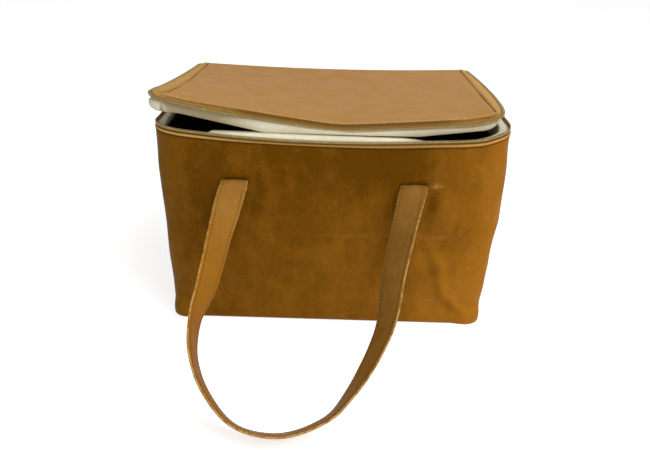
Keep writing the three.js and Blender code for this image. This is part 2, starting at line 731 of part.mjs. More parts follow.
function buildBody(bag) {
  const pockets = (side) =>
    [LEFT_SLIT_X, RIGHT_SLIT_X].map((x) => strapTail(side, x, handleAxisY(side), GAP, 0));
  const middle = CORNER_STEPS - HALF_CORNER;
  const foams = [
    ["left", BACK_LEFT, FRONT_LEFT, []],
    ["front", FRONT_LEFT, FRONT_RIGHT, pockets(-1)],
    ["right", FRONT_RIGHT, BACK_RIGHT, []],
    ["back", BACK_RIGHT, LOOP_POINTS + BACK_LEFT, pockets(1)],
  ];
  named("outer_wall", outerWall(), KRAFT, bag);
  named("outer_base", plate(SHEET + GAP, 0, SHEET), KRAFT, bag);
  named("foam_base", plate(FOAM_OUTER, FLOOR_FOAM_Z, FLOOR_FOAM_Z + FOAM), WADDING, bag);
  for (const [place, from, to, cutters] of foams) {
    named(`foam_${place}`, foamPanel(from + middle, to + middle, cutters), WADDING, bag);
  }
  named("lining_wall", liningWall(), FELT, bag);
  named("lining_base", plate(LINING_INNER + GAP, WALL_FOAM_Z, WALL_FOAM_Z + LINING), FELT, bag);
  named("rim_zip_tape", rimTape(), TAPE, bag);
  named("rim_zip_teeth", rimTeeth(), TEETH, bag);
  named("lid_hinge_band", hingeBand(), KRAFT, bag);
}

function buildHandles(bag) {
  for (const [place, side] of [["front", -1], ["back", 1]]) {
    const ends = [["left", LEFT_SLIT_X], ["right", RIGHT_SLIT_X]];
    for (const [end, x] of ends) {
      const tail = strapTail(side, x, handleAxisY(side));
      named(`${place}_strap_tail_${end}`, tail, STRAP, bag);
    }
    named(`${place}_handle`, handle(side), STRAP, bag);
  }
}

function buildLid(bag) {
  const lid = new THREE.Group();
  bag.add(lid);
  named("lid_panel", lidPanel(), KRAFT_LIGHT, lid);
  named("lid_foam", lidFoam(), WADDING, lid);
  named("lid_lining", lidLining(), FELT, lid);
  named("lid_zip_tape", lidTape(), TAPE, lid);
  named("lid_zip_teeth", lidTeeth(), TEETH, lid);
}

function buildSlider(bag) {
  named("zip_slider", slider(), METAL, bag);
  const tab = named("zip_pull", pull(), METAL, bag);
  tab.position.set(-PULL_AXIS_X, SLIDER_REST_Y, SLIDER_MIDDLE_Z);
}

const bag = new THREE.Group();
buildBody(bag);
buildHandles(bag);
buildLid(bag);
buildSlider(bag);

export default bag;
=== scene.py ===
import json
import logging
import math
from dataclasses import dataclass, field
from enum import Enum
from typing import Callable, Dict, List, Optional, Sequence, Tuple

import bmesh
import bpy
import numpy as np
from mathutils import Matrix, Vector, noise


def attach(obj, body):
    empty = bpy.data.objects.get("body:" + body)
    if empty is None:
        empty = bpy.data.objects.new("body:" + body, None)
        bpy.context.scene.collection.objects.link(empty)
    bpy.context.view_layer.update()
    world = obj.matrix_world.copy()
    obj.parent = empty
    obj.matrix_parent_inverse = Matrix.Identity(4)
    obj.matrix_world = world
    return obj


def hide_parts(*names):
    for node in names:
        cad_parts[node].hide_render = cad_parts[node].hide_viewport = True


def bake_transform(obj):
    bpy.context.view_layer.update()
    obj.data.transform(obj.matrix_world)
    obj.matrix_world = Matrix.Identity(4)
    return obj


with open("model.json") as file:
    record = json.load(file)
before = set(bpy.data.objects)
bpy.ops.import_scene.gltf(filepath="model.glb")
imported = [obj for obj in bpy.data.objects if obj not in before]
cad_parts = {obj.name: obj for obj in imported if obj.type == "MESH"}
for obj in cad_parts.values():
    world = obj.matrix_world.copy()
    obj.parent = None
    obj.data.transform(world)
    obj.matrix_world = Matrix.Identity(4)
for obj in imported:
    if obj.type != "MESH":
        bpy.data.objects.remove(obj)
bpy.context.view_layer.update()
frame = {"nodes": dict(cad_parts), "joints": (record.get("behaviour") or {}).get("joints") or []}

MM = 0.001
STRETCHES = 9  # of a rounded loop: five straights and four corners
TOO_CLOSE = 0.004  # smallest gap between two places of a grid
FLOOR_STEPS = (14, 8, 16, 8, 30, 8, 16, 8, 14)  # round the flat layers of the floor
LOG = logging.getLogger("cooler_bag")
Height = Callable[[np.ndarray], np.ndarray]
Colour = Tuple[float, float, float]
Socket = bpy.types.NodeSocket


class Side(Enum):
    """The face of the bag that a handle hangs on."""

    FRONT = -1
    BACK = 1


class Body(Enum):
    """The bodies that dressed pieces ride on, apart from the handles."""

    BODY = "body"
    LID = "lid"


def srgb(red: int, green: int, blue: int) -> Colour:
    """Turns a display colour into the linear one that a shader takes.

    Args:
        red: Red, 0 to 255.
        green: Green, 0 to 255.
        blue: Blue, 0 to 255.

    Returns:
        The linear colour.
    """

    def linear(value: int) -> float:
        """One channel made linear."""
        share = value / 255
        return share / 12.92 if share <= 0.04045 else ((share + 0.055) / 1.055) ** 2.4

    return linear(red), linear(green), linear(blue)


def ramp(value: np.ndarray, low: float, high: float) -> np.ndarray:
    """Rises smoothly from 0 at low to 1 at high, where low may be the larger.

    Args:
        value: Where to take it.
        low: Place of the 0.
        high: Place of the 1.

    Returns:
        The share at each place.
    """
    t = np.clip((np.asarray(value, float) - low) / (high - low), 0, 1)
    return t * t * (3 - 2 * t)


def hump(value: np.ndarray, middle: float, reach: float) -> np.ndarray:
    """A bell that is 1 at the middle and fades over the reach."""
    return np.exp(-(((np.asarray(value, float) - middle) / reach) ** 2))


def clouds(points: np.ndarray, size: float, seed: float = 0.0) -> np.ndarray:
    """Smooth noise from about -1 to 1.

    Args:
        points: Places, in millimetres.
        size: Width of one cloud.
        seed: Moves the pattern.

    Returns:
        The noise at each place, in the shape of the points without their last axis.
    """
    flat = points.reshape(-1, 3) / size + seed
    values = [noise.noise(Vector(p)) for p in flat]
    return np.array(values).reshape(points.shape[:-1])


def unit(vectors: np.ndarray) -> np.ndarray:
    """The vectors at length 1."""
    return vectors / np.maximum(np.linalg.norm(vectors, axis=-1, keepdims=True), 1e-9)


def rounded_loop(
    u: np.ndarray, half_width: float, back: float, front: float, back_radius: float, front_radius: float
) -> Tuple[np.ndarray, np.ndarray]:
    """Places round a rectangle with rounded corners.

    Args:
        u: Places on the loop, from 0 to 9. The whole part counts the stretches from the middle
            of the back round by the left side, corners included, and the rest is the share.
        half_width: Half the width.
        back: Y of the back.
        front: Y of the front.
        back_radius: Radius of the back corners.
        front_radius: Radius of the front corners.

    Returns:
        The points and their outward directions, each as rows of X and Y.
    """
    u = np.asarray(u, float)
    stretch = np.minimum(np.floor(u).astype(int), STRETCHES - 1)
    share = u - stretch
    back_x, front_x = half_width - back_radius, half_width - front_radius
    back_y, front_y = back - back_radius, front + front_radius
    points, outward = np.zeros(u.shape + (2,)), np.zeros(u.shape + (2,))
    straights = {
        0: ((0, back), (-back_x, back), (0, 1)),
        2: ((-half_width, back_y), (-half_width, front_y), (-1, 0)),
        4: ((-front_x, front), (front_x, front), (0, -1)),
        6: ((half_width, front_y), (half_width, back_y), (1, 0)),
        8: ((back_x, back), (0, back), (0, 1)),
    }
    corners = {
        1: ((-back_x, back_y), back_radius, 0.5),
        3: ((-front_x, front_y), front_radius, 1.0),
        5: ((front_x, front_y), front_radius, 1.5),
        7: ((back_x, back_y), back_radius, 0.0),
    }
    for index, (start, end, normal) in straights.items():
        here = stretch == index
        points[here] = np.array(start) + share[here, None] * (np.array(end) - np.array(start))
        outward[here] = normal
    for index, (centre, radius, turn) in corners.items():
        here = stretch == index
        angle = math.pi * (turn + share[here] / 2)
        outward[here] = np.stack([np.cos(angle), np.sin(angle)], axis=-1)
        points[here] = np.array(centre) + radius * outward[here]
    return points, outward


def stations(counts: Sequence[int], marks: Sequence[float] = ()) -> np.ndarray:
    """Places all round a loop.

    Args:
        counts: Steps in each of the nine stretches.
        marks: Places that have to be among them.

    Returns:
        The places in order, without the one that closes the loop.
    """
    even = np.concatenate([k + np.arange(n) / n for k, n in enumerate(counts)])
    kept = [u for u in even if all(abs(u - mark) > TOO_CLOSE for mark in marks)]
    return np.sort(np.array(kept + list(marks)))


class Mould:
    """Gathers the points and faces of one piece, in millimetres, and makes its mesh."""

    def __init__(self) -> None:
        """Starts empty."""
        self.points: List[np.ndarray] = []
        self.faces: List[Tuple[int, ...]] = []
        self.values: Dict[str, List[np.ndarray]] = {}
        self.count = 0

    def add(self, points: np.ndarray, faces: Sequence[Sequence[int]], **values: np.ndarray) -> None:
        """Adds points and the faces between them.

        Args:
            points: Rows of X, Y and Z.
            faces: Indices into these points.
            values: What each point carries, as numbers or as rows of three.
        """
        for name, value in values.items():
            self.values.setdefault(name, []).append(np.asarray(value, float))
        self.points.append(np.asarray(points, float).reshape(-1, 3))
        self.faces.extend(tuple(i + self.count for i in face) for face in faces)
        self.count += len(self.points[-1])

    def grid(
        self,
        rows: np.ndarray,
        around: bool = False,
        closed: bool = False,
        caps: bool = False,
        skip: Optional[np.ndarray] = None,
        **values: np.ndarray,
    ) -> None:
        """Adds a grid of four-sided faces.

        Args:
            rows: Rows of points, as an array of rows, columns and X, Y and Z.
            around: Joins the last column to the first.
            closed: Joins the last row to the first.
            caps: Closes the first and the last row with a face.
            skip: Whether to leave out each face, as an array of rows and columns.
            values: What each point carries.
        """
        count, size = rows.shape[:2]
        faces = []
        for r in range(count if closed else count - 1):
            for c in range(size if around else size - 1):
                if skip is None or not skip[r, c]:
                    r2, c2 = (r + 1) % count, (c + 1) % size
                    faces.append((r * size + c, r * size + c2, r2 * size + c2, r2 * size + c))
        if caps:
            faces.append(tuple(range(size))[::-1])
            faces.append(tuple((count - 1) * size + c for c in range(size)))
        flat = {name: value.reshape((count * size,) + value.shape[2:]) for name, value in values.items()}
        self.add(rows.reshape(-1, 3), faces, **flat)

    def closed_stack(self, start: np.ndarray, rings: np.ndarray, end: np.ndarray) -> None:
        """Adds a closed solid from rings that run from one middle point to another.

        Args:
            start: The point inside the first ring.
            rings: Rings of points, all of one length.
            end: The point inside the last ring.
        """
        count, size = rings.shape[:2]
        points = np.concatenate([[start], rings.reshape(-1, 3), [end]])
        last = len(points) - 1
        faces: List[Tuple[int, ...]] = []
        for c in range(size):
            c2 = (c + 1) % size
            faces.append((0, 1 + c2, 1 + c))
            for r in range(count - 1):
                a, b = 1 + r * size, 1 + (r + 1) * size
                faces.append((a + c, a + c2, b + c2, b + c))
            a = 1 + (count - 1) * size
            faces.append((a + c, a + c2, last))
        self.add(points, faces)

    def copies(
        self, points: np.ndarray, faces: Sequence[Sequence[int]], places: np.ndarray, axes: np.ndarray
    ) -> None:
        """Adds the same small solid at many places.

        Args:
            points: The solid's points.
            faces: The solid's faces.
            places: Where its origin goes, one row for each copy.
            axes: Three rows for each copy, which the solid's X, Y and Z turn into.
        """
        made = places[:, None, :] + np.einsum("pk,nkj->npj", points, axes)
        size = len(points)
        every = [tuple(i + n * size for i in face) for n in range(len(places)) for face in faces]
        self.add(made.reshape(-1, 3), every)

    def build(self, name: str) -> bpy.types.Object:
        """Makes the mesh, with its faces turned outward.

        Args:
            name: Name of the piece.

        Returns:
            The new object, linked to the scene.
        """
        mesh = bpy.data.meshes.new(name)
        mesh.from_pydata((np.concatenate(self.points) * MM).tolist(), [], self.faces)
        for key, parts in self.values.items():
            data = np.concatenate(parts).astype(np.float32)
            kind = "FLOAT_VECTOR" if data.ndim == 2 else "FLOAT"
            attribute = mesh.attributes.new(key, kind, "POINT")
            attribute.data.foreach_set("vector" if data.ndim == 2 else "value", data.ravel())
        mesh.shade_smooth()
        piece = bpy.data.objects.new(name, mesh)
        bpy.context.scene.collection.objects.link(piece)
        turn_outward(mesh)
        return piece


def flat_layer(lines: List[np.ndarray], shares: Sequence[float]) -> Mould:
    """Fills the edge of a flat layer.

    Args:
        lines: Lines round its edge, from the lower face to the upper one.
        shares: Size of the rings inside the edge, largest first.

    Returns:
        The mould with the layer.
    """
    under = [lines[0] * (share, share, 1) for share in shares[::-1]]
    over = [lines[-1] * (share, share, 1) for share in shares]
    low, high = lines[0][0, 2], lines[-1][0, 2]
    mould = Mould()
    mould.closed_stack(np.array([0, 0, low]), np.array(under + lines + over), np.array([0, 0, high]))
    return mould


def turn_outward(mesh: bpy.types.Mesh) -> None:
    """Turns the faces of a mesh so that they point out of it.

    Args:
        mesh: The mesh.
    """
    work = bmesh.new()
    work.from_mesh(mesh)
    bmesh.ops.recalc_face_normals(work, faces=work.faces)
    work.to_mesh(mesh)
    work.free()


class Track:
    """A line with a sideways and a facing direction, which strips and rows follow."""

    def __init__(self, points: np.ndarray, side: np.ndarray, face: np.ndarray) -> None:
        """Keeps the line.

        Args:
            points: Places along the line.
            side: Sideways direction at each place.
            face: Facing direction at each place.
        """
        self.points, self.side, self.face = points, side, face
        steps = np.linalg.norm(np.diff(points, axis=0), axis=1)
        self.distance = np.concatenate([[0], np.cumsum(steps)])
        self.length = float(self.distance[-1])

    def at(self, distance: np.ndarray) -> Tuple[np.ndarray, np.ndarray, np.ndarray]:
        """The line at some distances from its start.

        Args:
            distance: The distances.

        Returns:
            The points, and the sideways and facing directions.
        """

        def read(rows: np.ndarray) -> np.ndarray:
            """Each column read at the distances."""
            return np.stack([np.interp(distance, self.distance, rows[:, k]) for k in range(3)], axis=-1)

        return read(self.points), unit(read(self.side)), unit(read(self.face))

    def place(self, distance: np.ndarray, aside: float, up: float) -> np.ndarray:
        """Points beside and above the line."""
        points, side, face = self.at(distance)
        return points + side * aside + face * up

    def strip(
        self, mould: Mould, profile: Sequence[Tuple[float, float]], step: float,
        height: Optional[Callable[[np.ndarray], np.ndarray]] = None, groove: Optional[Sequence[float]] = None,
        dull: Optional[Callable[[np.ndarray], np.ndarray]] = None,
    ) -> None:
        """Adds a strip with this outline across the line to a mould.

        Args:
            mould: The mould.
            profile: The outline, as distances aside and up.
            step: Distance between sections.
            height: How much of its height the outline has at each point.
            groove: Painted shade at each point of the outline.
            dull: Painted shade of the strip at each point of the line.
        """
        distance = np.linspace(0, self.length, max(2, round(self.length / step)))
        points, side, face = self.at(distance)
        shape = np.array(profile)
        share = np.ones(len(points)) if height is None else height(points)
        top = shape[:, 1].max()
        up = top + (shape[None, :, 1] - top) * share[:, None]
        rows = points[:, None] + side[:, None] * shape[None, :, :1] + face[:, None] * up[..., None]
        across = np.concatenate([[0], np.cumsum(np.linalg.norm(np.diff(shape, axis=0), axis=1))])
        weave = np.zeros(rows.shape)
        weave[..., 0] = distance[:, None] * MM
        weave[..., 1] = across[None, :] * MM
        shade = np.zeros(rows.shape[:2]) + (0 if groove is None else np.array(groove)[None, :])
        if dull is not None:
            more = dull(points)[:, None]
            shade = shade + (1 - shade) * more - 0.4 * shade * more
        mould.grid(rows, around=True, caps=True, weave=weave, shade=shade)


def capsule(length: float, radius: float, sides: int = 6) -> Tuple[np.ndarray, List[Tuple[int, ...]]]:
    """A stitch that lies along X, with rounded ends that sink in.

    Args:
        length: Its length.
        radius: Its radius.
        sides: Faces round it.

    Returns:
        Its points and faces.
    """
    rings = [(-0.5, 0.3, -0.7), (-0.36, 0.85, 0.0), (0.0, 1.0, 0.25), (0.36, 0.85, 0.0), (0.5, 0.3, -0.7)]
    angle = np.arange(sides) * 2 * math.pi / sides
    rows = np.array(
        [
            np.stack(
                [
                    np.full(sides, along * length),
                    np.cos(angle) * size * radius,
                    np.sin(angle) * size * radius + lift * radius,
                ],
                axis=-1,
            )
            for along, size, lift in rings
        ]
    )
    mould = Mould()
    mould.grid(rows, around=True, caps=True)
    return np.concatenate(mould.points), mould.faces


def tooth(length: float, thickness: float, height: float) -> Tuple[np.ndarray, List[Tuple[int, ...]]]:
    """One tooth of a coil zip, which stands along Z on a strip along X.

    Args:
        length: Its size along the zip.
        thickness: Its size across the zip.
        height: How far it stands up.

    Returns:
        Its points and faces.
    """
    upper = np.array([(1, 0.55), (0.6, 1), (-0.6, 1), (-1, 0.55)])
    ring = np.concatenate([upper, -upper])
    half = np.array([length / 2, thickness / 2])
    levels = [(0.0, 0.8), (0.35, 1.0), (0.75, 0.95), (0.95, 0.7), (1.0, 0.35)]
    rows = np.array(
        [np.column_stack([ring * half * size, np.full(len(ring), share * height)]) for share, size in levels]
    )
    mould = Mould()
    mould.grid(rows, around=True, caps=True)
    return np.concatenate(mould.points), mould.faces


def row_of_stitches(
    mould: Mould, track: Track, aside: float, up: float, pitch: float, length: float, radius: float,
    turned: bool = False, margin: float = 2.0,
) -> None:
    """Adds a row of stitches along a line to a mould.

    Args:
        mould: The mould.
        track: The line.
        aside: The row's distance to the side of the line.
        up: Its distance along the facing direction.
        pitch: Distance between stitches.
        length: Length of a stitch.
        radius: Radius of the thread.
        turned: Lays the stitches on the far face.
        margin: Bare length at both ends.
    """
    distance = np.arange(margin + length / 2, track.length - margin - length / 2, pitch)
    first = track.place(distance - length / 2, aside, up)
    second = track.place(distance + length / 2, aside, up)
    along = unit(second - first)
    face = track.at(distance)[2] * (-1 if turned else 1)
    across = unit(np.cross(face, along))
    axes = np.stack([along, across, np.cross(along, across)], axis=1)
    points, faces = capsule(length, radius)
    mould.copies(points, faces, (first + second) / 2, axes)


def row_of_teeth(
    mould: Mould, track: Track, aside: float, up: float, upright: bool, pitch: float,
    length: float, thickness: float, height: float,
) -> None:
    """Adds the teeth of half a zip along a line to a mould.

    Args:
        mould: The mould.
        track: The line.
        aside: Distance of the teeth to the side of the line.
        up: Distance of the teeth along the facing direction.
        upright: Whether the teeth stand along the facing direction, and not to the side.
        pitch: Distance between teeth.
        length: Size of a tooth along the line.
        thickness: Size of a tooth across the zip.
        height: How far a tooth stands up.
    """
    distance = np.arange(pitch / 2, track.length - pitch / 2, pitch)
    places = track.place(distance, aside, up)
    along = unit(track.place(distance + 0.5, aside, up) - track.place(distance - 0.5, aside, up))
    _, side, face = track.at(distance)
    stand = face if upright else side
    axes = np.stack([along, unit(np.cross(stand, along)), stand], axis=1)
    points, faces = tooth(length, thickness, height)
    mould.copies(points, faces, places, axes)


class Graph:
    """The nodes of a material or of the world."""

    FINER_LAYERS = 0.55  # strength of the finer layers of noise
    MIXED = (6, 7)  # the colour sockets of Blender's Mix node

    def __init__(self, owner: bpy.types.ID) -> None:
        """Starts with no nodes.

        Args:
            owner: The material or world.
        """
        owner.use_nodes = True
        self.owner = owner
        self.tree = owner.node_tree
        self.tree.nodes.clear()

    def node(self, kind: str, **settings: object) -> bpy.types.Node:
        """Adds a node.

        Args:
            kind: Its type, without the first words of Blender's name for it.
            settings: Properties to set on it.

        Returns:
            The node.
        """
        made = self.tree.nodes.new("ShaderNode" + kind)
        for name, value in settings.items():
            setattr(made, name, value)
        return made

    def feed(self, socket: Socket, value: object) -> None:
        """Links a socket to another, or sets its value.

        Args:
            socket: The socket.
            value: Another socket, a number or a colour.
        """
        if isinstance(value, Socket):
            self.tree.links.new(value, socket)
        elif isinstance(value, tuple) and len(socket.default_value) == 4:
            socket.default_value = (*value, 1.0)
        else:
            socket.default_value = value

    def place(self) -> Socket:
        """The place on the piece, in metres."""
        return self.node("TexCoord").outputs["Object"]

    def carried(self, name: str, vector: bool = False) -> Socket:
        """A value that the mesh carries at its points."""
        return self.node("Attribute", attribute_name=name).outputs["Vector" if vector else "Fac"]

    def maths(self, operation: str, first: object, second: object = 0.0, clamp: bool = False) -> Socket:
        """A sum of two numbers or sockets.

        Args:
            operation: The sum's name.
            first: First number.
            second: Second number.
            clamp: Keeps the result from 0 to 1.

        Returns:
            The result's socket.
        """
        made = self.node("Math", operation=operation, use_clamp=clamp)
        self.feed(made.inputs[0], first)
        self.feed(made.inputs[1], second)
        return made.outputs[0]

    def clouds(
        self, size: float, detail: float = 4.0, warp: float = 0.0, stretch: Optional[Colour] = None
    ) -> Socket:
        """Noise of a given size.

        Args:
            size: Width of one cloud in metres.
            detail: How many finer layers it has.
            warp: How far it is distorted.
            stretch: How much the place is scaled along each axis.

        Returns:
            The noise's socket.
        """
        place = self.place()
        if stretch is not None:
            scaled = self.node("VectorMath", operation="MULTIPLY")
            self.feed(scaled.inputs[0], place)
            scaled.inputs[1].default_value = stretch
            place = scaled.outputs[0]
        made = self.node("TexNoise")
        self.feed(made.inputs["Vector"], place)
        self.feed(made.inputs["Scale"], 1 / size)
        self.feed(made.inputs["Detail"], detail)
        self.feed(made.inputs["Roughness"], self.FINER_LAYERS)
        self.feed(made.inputs["Distortion"], warp)
        return made.outputs["Fac"]

    def spread(self, value: object, low: float, high: float, start: float = 0.0, end: float = 1.0) -> Socket:
        """Spreads the range from low to high smoothly over start to end.

        Args:
            value: The socket to spread.
            low: Value that gives start.
            high: Value that gives end.
            start: Result at low.
            end: Result at high.

        Returns:
            The result's socket.
        """
        made = self.node("MapRange", interpolation_type="SMOOTHSTEP")
        names = ("Value", "From Min", "From Max", "To Min", "To Max")
        for name, number in zip(names, (value, low, high, start, end)):
            self.feed(made.inputs[name], number)
        return made.outputs[0]

    def mix(self, share: object, first: object, second: object, blend: str = "MIX") -> Socket:
        """Mixes two colours.

        Args:
            share: How much of the second shows.
            first: First colour.
            second: Second colour.
            blend: How they are mixed.

        Returns:
            The colour's socket.
        """
        made = self.node("Mix", data_type="RGBA", blend_type=blend)
        self.feed(made.inputs[0], share)
        for index, colour in zip(self.MIXED, (first, second)):
            self.feed(made.inputs[index], colour)
        return made.outputs[2]

    def relief(self, height: Socket, depth: float, below: Optional[Socket] = None) -> Socket:
        """Fine relief on the surface.

        Args:
            height: The relief, from 0 to 1.
            depth: Its depth in metres.
            below: Relief that it lies on.

        Returns:
            The normal's socket.
        """
        made = self.node("Bump")
        made.inputs["Strength"].default_value = 1.0
        made.inputs["Distance"].default_value = depth
        self.feed(made.inputs["Height"], height)
        if below is not None:
            self.feed(made.inputs["Normal"], below)
        return made.outputs[0]


class Surface(Graph):
    """The nodes of a material with one surface shader."""

    def __init__(self, name: str) -> None:
        """Starts the material.

        Args:
            name: Name of the material.
        """
        super().__init__(bpy.data.materials.new(name))
        output = self.node("OutputMaterial")
        self.shader = self.node("BsdfPrincipled")
        self.tree.links.new(self.shader.outputs[0], output.inputs["Surface"])

    def finish(self, colour: object, roughness: object, normal: Optional[Socket] = None,
               **sockets: object) -> bpy.types.Material:
        """Joins the parts to the surface shader.

        Args:
            colour: Base colour.
            roughness: Roughness.
            normal: Normal.
            sockets: More sockets of the shader, with underscores for the spaces.

        Returns:
            The material.
        """
        self.feed(self.shader.inputs["Base Color"], colour)
        self.feed(self.shader.inputs["Roughness"], roughness)
        if normal is not None:
            self.feed(self.shader.inputs["Normal"], normal)
        for name, value in sockets.items():
            self.feed(self.shader.inputs[name.replace("_", " ")], value)
        return self.owner


@dataclass(frozen=True)
class PaperLeather:
    """Washable paper with a leathery grain, folds and uneven colour, with painted light and shade carried by
    the mesh.
    """

    name: str
    dark: Colour
    light: Colour
    warm: Colour
    worn: Colour
    crinkle: float
    mottle: float
    gloss: Colour = (1.0, 0.66, 0.25)
    swirls_per_metre: float = 14.0
    swirl_reach: float = 0.03
    folds_per_metre: float = 30.0

    def material(self) -> bpy.types.Material:
        """Makes the material.

        Returns:
            The material.
        """
        g = Surface(self.name)
        shift = g.node("VectorMath", operation="SCALE")
        swirl = g.node("TexNoise")
        g.feed(swirl.inputs["Vector"], g.place())
        g.feed(swirl.inputs["Scale"], self.swirls_per_metre)
        g.feed(shift.inputs[0], swirl.outputs["Color"])
        g.feed(shift.inputs["Scale"], self.swirl_reach)
        warped = g.node("VectorMath", operation="ADD")
        g.feed(warped.inputs[0], g.place())
        g.feed(warped.inputs[1], shift.outputs[0])
        folds = g.node("TexVoronoi", feature="DISTANCE_TO_EDGE")
        g.feed(folds.inputs["Vector"], warped.outputs[0])
        g.feed(folds.inputs["Scale"], self.folds_per_metre)
        patch = g.spread(g.clouds(0.05, 2.0), 0.45, 0.65)
        streak = g.clouds(0.012, 5.0, 0.3, stretch=(1.0, 1.0, 0.3))
        fine = g.clouds(0.003, 3.0, 0.2)
        # The carried value is the sheet's uneven colour together with painted light and shade; random layers
        # are added to it.
        tone = g.carried("tone")
        for share, depth in (
            (g.spread(g.clouds(0.06, 4.0, 0.8), 0.3, 0.7), 0.14),
            (g.spread(g.clouds(0.018, 3.0, 0.4), 0.3, 0.7), 0.1),
            (g.spread(streak, 0.3, 0.7), 0.12),
            (g.spread(fine, 0.3, 0.7), 0.08),
        ):
            depth *= self.mottle
            tone = g.maths("ADD", tone, g.spread(share, 0.0, 1.0, -depth / 2, depth / 2))
        tone = g.maths("MAXIMUM", g.maths("MINIMUM", tone, 1.0), 0.0)
        colour = g.mix(tone, self.dark, self.light)
        uneven = g.spread(g.clouds(0.03, 2.0), 0.2, 0.6, 0.4, 1.0)
        red = g.maths("MULTIPLY", g.carried("warmth"), uneven, clamp=True)
        colour = g.mix(red, colour, self.warm)
        grain = g.clouds(0.0007, 3.0)
        speck = g.spread(grain, 0.35, 0.65, 0.86, 1.1)
        tint = g.node("CombineColor")
        for socket in tint.inputs[:3]:
            g.feed(socket, speck)
        colour = g.mix(1.0, colour, tint.outputs[0], "MULTIPLY")
        # Pale broken lines along the folds: partly rubbed paper, partly painted highlight on the fold ridges.
        # They and the carried rubbing are mixed towards the worn colour, which so also paints highlights.
        line = g.maths("MULTIPLY", g.spread(folds.outputs["Distance"], 0.0, 0.05, 1.0, 0.0), patch)
        broken = g.spread(g.clouds(0.006, 3.0), 0.45, 0.65)
        wear = g.maths("MULTIPLY", g.carried("wear"), g.spread(g.clouds(0.004, 4.0), 0.35, 0.6), clamp=True)
        crease_wear_and_highlight = g.maths("MULTIPLY", g.maths("MULTIPLY", line, broken), self.crinkle)
        rub_and_highlight = g.maths("ADD", wear, crease_wear_and_highlight, clamp=True)
        colour = g.mix(rub_and_highlight, colour, self.worn)
        roughness = g.spread(g.clouds(0.02, 4.0), 0.3, 0.7, 0.5, 0.66)
        low = g.relief(g.clouds(0.009, 4.0, 0.4), 0.0005)
        low = g.relief(g.clouds(0.028, 3.0, 0.6), 0.0022 * self.mottle, low)
        low = g.relief(line, 0.00025 * self.mottle, low)
        normal = g.relief(grain, 0.00006, low)
        return g.finish(colour, roughness, normal, Specular_IOR_Level=0.1, Specular_Tint=self.gloss)


@dataclass(frozen=True)
class Felt:
    """Pressed white fibre with a little fuzz and dirt, and painted shade that the mesh carries."""

    name: str
    clean: Colour
    soil_and_shade_colour: Colour
    shaded: Colour
    inner_shade: Colour

    def material(self) -> bpy.types.Material:
        """Makes the material.

        Returns:
            The material.
        """
        g = Surface(self.name)
        fibre = g.clouds(0.0012, 6.0, 1.2, stretch=(0.35, 1.0, 1.0))
        soil = g.clouds(0.02, 4.0, 0.5)
        streak = g.clouds(0.006, 4.0, 0.2, stretch=(0.12, 0.12, 1.0))
        colour = g.mix(g.spread(soil, 0.42, 0.8, 0.0, 0.24), self.clean, self.soil_and_shade_colour)
        colour = g.mix(g.spread(streak, 0.42, 0.75, 0.0, 0.26), colour, self.shaded)
        colour = g.mix(g.spread(fibre, 0.3, 0.6, 0.16, 0.0), colour, self.shaded)
        # The two carried values paint shade: the first darkens the felt, mostly as painted shade, and the
        # second paints the dark shade far inside the bag and in a crease of the pad.
        colour = g.mix(g.carried("soil"), colour, self.soil_and_shade_colour)
        colour = g.mix(g.carried("depth"), colour, self.inner_shade)
        low = g.relief(soil, 0.0012)
        normal = g.relief(fibre, 0.00035, low)
        return g.finish(colour, 0.94, normal, Specular_IOR_Level=0.1)


@dataclass(frozen=True)
class WovenTape:
    """Narrow woven tape with a fine rib across it."""

    name: str
    yarn: Colour
    gap: Colour
    dark: Colour
    rib_pitch: float = 0.0007
    warp_pitch: float = 0.0006

    def material(self) -> bpy.types.Material:
        """Makes the material.

        Returns:
            The material.
        """
        g = Surface(self.name)
        weave = g.carried("weave", vector=True)
        parts = g.node("SeparateXYZ")
        g.feed(parts.inputs[0], weave)
        rib = g.maths("SINE", g.maths("MULTIPLY", parts.outputs[0], 2 * math.pi / self.rib_pitch))
        warp = g.maths("SINE", g.maths("MULTIPLY", parts.outputs[1], 2 * math.pi / self.warp_pitch))
        cloth = g.spread(g.maths("MULTIPLY", rib, warp), -1.0, 1.0)
        worn = g.clouds(0.008, 3.0)
        colour = g.mix(g.spread(cloth, 0.1, 0.7), self.gap, self.yarn)
        colour = g.mix(g.spread(worn, 0.4, 0.75, 0.0, 0.35), colour, self.gap)
        # The carried shade is painted shade, mixed towards the dark colour.
        colour = g.mix(g.carried("shade"), colour, self.dark)
        return g.finish(colour, 0.72, g.relief(cloth, 0.00012), Specular_IOR_Level=0.2)


@dataclass(frozen=True)
class CoilPlastic:
    """Nylon of the zip's coil, a little dusty between the teeth."""

    name: str
    body: Colour
    dust: Colour

    def material(self) -> bpy.types.Material:
        """Makes the material.

        Returns:
            The material.
        """
        g = Surface(self.name)
        dusty = g.spread(g.clouds(0.003, 4.0), 0.45, 0.7, 0.0, 0.5)
        colour = g.mix(dusty, self.body, self.dust)
        roughness = g.spread(g.clouds(0.002, 3.0), 0.3, 0.7, 0.32, 0.5)
        return g.finish(colour, roughness, g.relief(g.clouds(0.0006, 3.0), 0.00005))


@dataclass(frozen=True)
class Thread:
    """Twisted sewing thread."""

    name: str
    ply: Colour
    groove: Colour

    def material(self) -> bpy.types.Material:
        """Makes the material.

        Returns:
            The material.
        """
        g = Surface(self.name)
        twist = g.clouds(0.0005, 2.0, 0.0, stretch=(1.0, 1.0, 2.5))
        colour = g.mix(g.spread(twist, 0.35, 0.65), self.groove, self.ply)
        return g.finish(colour, 0.85, g.relief(twist, 0.0001), Specular_IOR_Level=0.08)


